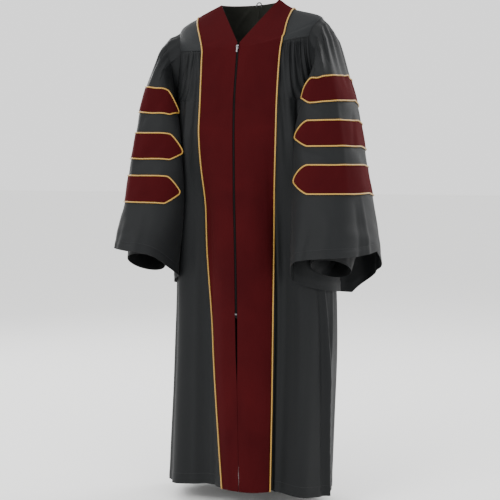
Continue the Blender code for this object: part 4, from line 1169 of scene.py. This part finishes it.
def grown(name, source, tree, **values):
    """The plain mesh that a geometry node tree makes from a source object."""
    change = source.modifiers.new("growth", "NODES")
    change.node_group = tree
    for socket in tree.interface.items_tree:
        if socket.in_out == "INPUT" and socket.name in values:
            change[socket.identifier] = values[socket.name]
    bpy.context.view_layer.update()
    evaluated = source.evaluated_get(bpy.context.evaluated_depsgraph_get())
    mesh = bpy.data.meshes.new_from_object(evaluated)
    mesh.name = name
    bpy.data.objects.remove(source)
    piece = bpy.data.objects.new(name, mesh)
    bpy.context.scene.collection.objects.link(piece)
    return piece


def curve_through(name, lines, closed):
    """A curve object of straight stretches, with a spline for each list of points."""
    curve = bpy.data.curves.new(name, "CURVE")
    curve.dimensions = "3D"
    for line in lines:
        spline = curve.splines.new("POLY")
        spline.points.add(len(line) - 1)
        spline.points.foreach_set("co", np.concatenate([line, np.ones((len(line), 1))], 1).ravel())
        spline.use_cyclic_u = closed
    holder = bpy.data.objects.new(name, curve)
    bpy.context.scene.collection.objects.link(holder)
    return holder


def even_spaced(path, step, closed):
    """The path again, with its points the same distance apart."""
    ring = np.concatenate([path, path[:1]]) if closed else path
    far = np.concatenate([[0], np.cumsum(np.linalg.norm(np.diff(ring, axis=0), axis=1))])
    count = max(int(round(far[-1] / step)), 8)
    places = np.linspace(0, far[-1], count + 1)[: count if closed else count + 1]
    return np.stack([np.interp(places, far, ring[:, axis]) for axis in range(3)], -1)


def square_to(path, aside, normals):
    """The part of each direction that is square to the path and to the panel's normals."""
    level = aside - normals * (aside * normals).sum(-1, keepdims=True)
    along = unit(np.gradient(path, axis=0))
    return unit(level - along * (level * along).sum(-1, keepdims=True))


def rounded(path, closed):
    """The path with its small kinks smoothed out, its ends kept."""
    softened = (np.roll(path, 1, 0) + 2 * path + np.roll(path, -1, 0)) / 4
    if not closed:
        softened[0], softened[-1] = path[0], path[-1]
    return softened


piping_growth = piping_tree()


def add_piping(name, path, closed, replaced):
    """A run of piping along a path, in place of its solid."""
    path = rounded(even_spaced(path, PIPING_STEP, closed), closed)
    cord = grown(
        name,
        curve_through(name + "_path", [path], closed),
        piping_growth,
        Radius=PIPING_RADIUS,
        Sides=PIPING_SIDES,
        Finish=gold_piping,
    )
    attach(cord, "gown")
    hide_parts(replaced)


SEAT = PIPING_RADIUS + SEAM
for label in ("left", "right"):
    edge, beyond, normals = facing_edges[label]
    aside = square_to(edge, beyond - edge, normals)
    edge = trimmed(edge[:, None], ("top",), PIPING_INSET)[:, 0]
    add_piping(
        f"piping_of_facing_{label}",
        edge + aside * SEAT + normals * (PIPING_RADIUS + PIPING_STAND),
        False,
        f"facing_piping_{label}",
    )
edge = back_yoke_points[:, BAND_STEPS : BAND_STEPS + 1]
edge = trimmed(edge, ("top", "foot"), PIPING_INSET)[:, 0]
normals = back_yoke_normals[:, BAND_STEPS]
aside = square_to(edge, back_yoke_points[:, BAND_STEPS + 1] - edge, normals)
path = edge + aside * SEAT + normals * (PIPING_RADIUS + PIPING_STAND)
add_piping("piping_of_neck_band", path, False, "neck_band_piping")

for label, (outline, normals) in bar_outlines.items():
    ahead = unit(np.roll(outline, -2, 0) - np.roll(outline, 2, 0))
    aside = unit(np.cross(normals, ahead))
    if ((outline - outline.mean(0)) * aside).sum() < 0:
        aside = -aside
    path = outline + aside * SEAT + normals * (PIPING_RADIUS + BAR_PIPING_STAND)
    add_piping(f"piping_of_bar_{label}", path, True, f"bar_piping_{label}")


# Sewing thread: spun polyester in the colour of the cloth, lockstitched along the yoke seams,
# the hems of the panels and sleeves, and the wrist edges of the cuffs.

STITCH_PITCH = 0.0034
STITCH_LENGTH = 0.0025
STITCH_RADIUS = 0.00032
THREAD_STAND = 0.0002
YOKE_THREAD_STAND = 0.0006


def spun_thread(name, colour):
    """Polyester thread: a slight shine, and a fine twist along each stitch."""
    made, tree, shader = new_material(name)
    place = node(tree, "ShaderNodeTexCoord").outputs["Object"]
    twist = node(tree, "ShaderNodeTexNoise", Vector=place, Scale=2600.0, Detail=1.0)
    tint = blend(tree, twist.outputs[0], linear(colour), linear("#262829"))
    feed(tree, shader, Base_Color=tint, Roughness=0.5)
    return made


black_thread = spun_thread("black_spun_polyester_thread", "#1b1c1d")


def stitch_tree():
    """Places one short round stitch after another along a curve."""
    tree, given, result = node_tree(
        "lockstitch_row",
        {
            "Pitch": "NodeSocketFloat",
            "Length": "NodeSocketFloat",
            "Radius": "NodeSocketFloat",
            "Finish": "NodeSocketMaterial",
        },
    )
    points = node(
        tree,
        "GeometryNodeCurveToPoints",
        {"mode": "LENGTH"},
        Curve=given.outputs["Geometry"],
        Length=given.outputs["Pitch"],
    )
    shape = node(tree, "GeometryNodeMeshUVSphere", Segments=5, Rings=4, Radius=1.0)
    smooth = node(tree, "GeometryNodeSetShadeSmooth", Geometry=shape.outputs["Mesh"])
    half = arithmetic(tree, "MULTIPLY", given.outputs["Length"], 0.5)
    radius = given.outputs["Radius"]
    size = node(tree, "ShaderNodeCombineXYZ", X=radius, Y=radius, Z=half)
    placed = node(
        tree,
        "GeometryNodeInstanceOnPoints",
        Points=points.outputs["Points"],
        Instance=smooth.outputs["Geometry"],
        Rotation=points.outputs["Rotation"],
        Scale=size.outputs[0],
    )
    end_tree(tree, placed.outputs["Instances"], given.outputs["Finish"], result)
    return tree


stitch_growth = stitch_tree()


def add_stitches(name, lines):
    """A row of stitches along each line, made as one piece."""
    row = grown(
        name,
        curve_through(name + "_line", lines, False),
        stitch_growth,
        Pitch=STITCH_PITCH,
        Length=STITCH_LENGTH,
        Radius=STITCH_RADIUS,
        Finish=black_thread,
    )
    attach(row, "gown")


def at_height(points, normals, row_height):
    """The line across a panel this far above its foot, just proud of the cloth."""
    above = points[..., 2] - points[-1:, :, 2]
    line = []
    for number in range(points.shape[1]):
        order = np.argsort(above[:, number])
        line.append(
            [np.interp(row_height, above[order, number], points[order, number, axis]) for axis in range(3)]
        )
    return np.array(line) + normals[-1] * THREAD_STAND


hem_lines = [at_height(*fronts[label], HEM_HEIGHT) for label in ("left", "right")]
hem_lines.append(at_height(back_points, back_normals, HEM_HEIGHT))
add_stitches("hem_stitches", hem_lines)

yoke_lines = []
for label in ("left", "right"):
    points, normals = yoke_fronts[label]
    yoke_lines.append((points[-3] + normals[-3] * YOKE_THREAD_STAND)[FACING_STEPS + 3 :])
yoke_lines.append(back_yoke_points[:, -3] + back_yoke_normals[:, -3] * YOKE_THREAD_STAND)
add_stitches("yoke_stitches", yoke_lines)

mouth_lines = []
for label in ("left", "right"):
    points, normals = sleeve_forms[label]
    mouth_lines.append(at_height(points, normals, SLEEVE_HEM))
    grid, cuff_normals = cuff_forms[label]
    mouth_lines.append(grid[-3] + cuff_normals[-3] * THREAD_STAND)
add_stitches("sleeve_stitches", mouth_lines)


# Zip: woven tape sewn behind both front edges, a moulded chain that is closed from the neck to the
# thighs, a metal slider with its pull tab, and a small stop at the foot.

ZIP_TOP = -0.126
ZIP_FOOT = -0.865
TAPE_REACH = 0.0100
TAPE_TAIL = 0.0150
TAPE_THICKNESS = 0.0009
TAPE_BEHIND = 0.0016 + 2 * SEAM
TAPE_TOP_DROP = 0.0006
TEETH_BELOW_TOP = 0.004
CHAIN_HALF = 0.0022
TOOTH_PITCH = 0.0030
TOOTH_HEIGHT = 0.0016
TOOTH_DEPTH = 0.0017
TOOTH_WIDTH = 1.25
TOOTH_SHIFT = 0.37


def front_line(height):
    """The point of the centre front at this height."""
    rows = np.linspace(0, HEM_ROW, 700)
    return torso(0.0, np.interp(-height, -torso(0.0, rows)[:, 2], rows))


def moulded_plastic(name, colour):
    """Moulded acetal, black and a little shiny where it is worn."""
    made, tree, shader = new_material(name)
    place = node(tree, "ShaderNodeTexCoord").outputs["Object"]
    wear = node(tree, "ShaderNodeTexNoise", Vector=place, Scale=300.0, Detail=2.0)
    tint = blend(tree, wear.outputs[0], linear(colour), linear("#060606"))
    rough = arithmetic(tree, "MULTIPLY_ADD", wear.outputs[0], 0.2, 0.5)
    feed(tree, shader, Base_Color=tint, Roughness=rough, Specular_IOR_Level=0.12)
    return made


black_acetal = moulded_plastic("black_acetal_teeth", "#030303")
zip_weave = gown_cloth("black_zip_tape_twill", "#030303", "#060607")

edges = []
for label in ("right", "left"):
    points, normals = fronts[label]
    inside = []
    for line in points[:, : FACING_STEPS + 1]:
        far = np.concatenate([[0], np.cumsum(np.linalg.norm(np.diff(line, axis=0), axis=1))])
        inside.append([np.interp(TAPE_REACH, far, line[:, axis]) for axis in range(3)])
    pair = [(np.array(inside), normals[:, 1]), (points[:, 0], normals[:, 0])]
    edges += pair if label == "right" else pair[::-1]
tape = np.stack([place for place, _ in edges], 1)
tape_normals = np.stack([way for _, way in edges], 1)
kept = tape[:, 0, 2] > ZIP_FOOT - TAPE_TAIL
tape, tape_normals = tape[kept], tape_normals[kept]
tape[0, :, 2] -= TAPE_TOP_DROP
outer = tape - tape_normals * TAPE_BEHIND
inner = tape - tape_normals * (TAPE_BEHIND + TAPE_THICKNESS)
tape_piece = cloth_shell("zip_tape_weave", outer, inner, zip_weave)
sewn(tape_piece, "zip_tape")


def tooth_tree():
    """Two rows of interlocked teeth along the centre line, leaning in from either side in turn."""
    tree, given, result = node_tree(
        "closed_zip_teeth",
        {
            "Pitch": "NodeSocketFloat",
            "Half Width": "NodeSocketFloat",
            "Height": "NodeSocketFloat",
            "Depth": "NodeSocketFloat",
            "Finish": "NodeSocketMaterial",
        },
    )
    points = node(
        tree,
        "GeometryNodeResampleCurve",
        {"mode": "LENGTH"},
        Curve=given.outputs["Geometry"],
        Length=given.outputs["Pitch"],
    )
    width = arithmetic(tree, "MULTIPLY", given.outputs["Half Width"], TOOTH_WIDTH)
    depth, height = given.outputs["Depth"], given.outputs["Height"]
    size = node(tree, "ShaderNodeCombineXYZ", X=width, Y=depth, Z=height)
    tooth = node(tree, "GeometryNodeMeshCube", Size=size.outputs[0])
    number = node(tree, "GeometryNodeInputIndex").outputs[0]
    odd = arithmetic(tree, "MODULO", number, 2.0)
    side = arithmetic(tree, "MULTIPLY_ADD", odd, 2.0, -1.0)
    aside = arithmetic(tree, "MULTIPLY", given.outputs["Half Width"], TOOTH_SHIFT)
    shift = arithmetic(tree, "MULTIPLY", aside, side)
    offset = node(tree, "ShaderNodeCombineXYZ", X=shift)
    moved = node(
        tree, "GeometryNodeSetPosition", Geometry=points.outputs["Curve"], Offset=offset.outputs[0]
    )
    placed = node(
        tree,
        "GeometryNodeInstanceOnPoints",
        Points=moved.outputs["Geometry"],
        Instance=tooth.outputs["Mesh"],
    )
    end_tree(tree, placed.outputs["Instances"], given.outputs["Finish"], result)
    return tree


centre = tape[:, 1:3].mean(1)
teeth_line = centre[centre[:, 2] > ZIP_FOOT]
top_point = front_line(ZIP_TOP - TEETH_BELOW_TOP)
teeth_line = np.concatenate([[top_point], teeth_line])
teeth = grown(
    "zip_teeth",
    curve_through("zip_line", [teeth_line], False),
    tooth_tree(),
    **{
        "Pitch": TOOTH_PITCH / 2,
        "Half Width": CHAIN_HALF,
        "Height": TOOTH_HEIGHT,
        "Depth": TOOTH_DEPTH,
        "Finish": black_acetal,
    },
)
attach(teeth, "gown")
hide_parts("zip_chain")


# Slider, pull tab and end stop: die-cast zinc alloy, tumbled and nickel plated. The pull tab
# hangs on the slider's pin and swings up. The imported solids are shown, with this finish.


def plated_zinc():
    """Nickel over zinc: a warm grey metal, its tumbled surface breaking up the highlights."""
    made, tree, shader = new_material("nickel_plated_zinc")
    place = node(tree, "ShaderNodeTexCoord").outputs["Object"]
    tumble = node(tree, "ShaderNodeTexNoise", Vector=place, Scale=900.0, Detail=3.0)
    tint = blend(tree, tumble.outputs[0], linear("#55565a"), linear("#7d7e7f"))
    rough = arithmetic(tree, "MULTIPLY_ADD", tumble.outputs[0], 0.25, 0.32)
    bump = node(tree, "ShaderNodeBump", Strength=0.15, Distance=0.0001, Height=tumble.outputs[0])
    feed(tree, shader, Base_Color=tint, Roughness=rough, Normal=bump.outputs[0], Metallic=1.0)
    return made


zip_metal = plated_zinc()
for name in ("zip_slider", "zip_pull", "zip_end_stop"):
    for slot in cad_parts[name].material_slots:
        slot.material = zip_metal


# Hanger loop: a narrow rolled strip of the gown cloth, both ends sewn in at the back of the neck.

LOOP_RADIUS = 0.0018
LOOP_HALF = 0.0072
LOOP_RISE = 0.0066
LOOP_TAIL = 0.0060
LOOP_BEHIND = 0.0015
LOOP_STEP = 0.0015
LOOP_SIDES = 10
ARCH_POINTS = 25


def rolled_strip():
    """The path of the loop: a low arch between two straight tails."""
    turns = np.linspace(0, math.pi, ARCH_POINTS)
    seat = torso(math.pi, 0.0) + np.array([0, -LOOP_RADIUS - LOOP_BEHIND - 3 * SEAM, 0])
    arch = np.stack([LOOP_HALF * np.cos(turns), np.zeros(ARCH_POINTS), LOOP_RISE * np.sin(turns)], -1)
    tail = np.array([[0, 0, LOOP_TAIL]])
    path = np.concatenate([arch[:1] - tail, arch, arch[-1:] - tail]) + seat
    return even_spaced(path, LOOP_STEP, False)


loop = grown(
    "hanger_loop_strip",
    curve_through("loop_path", [rolled_strip()], False),
    piping_growth,
    Radius=LOOP_RADIUS,
    Sides=LOOP_SIDES,
    Finish=spun_thread("rolled_loop_cloth", "#040404"),
)
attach(loop, "gown")
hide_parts("hanger_loop")
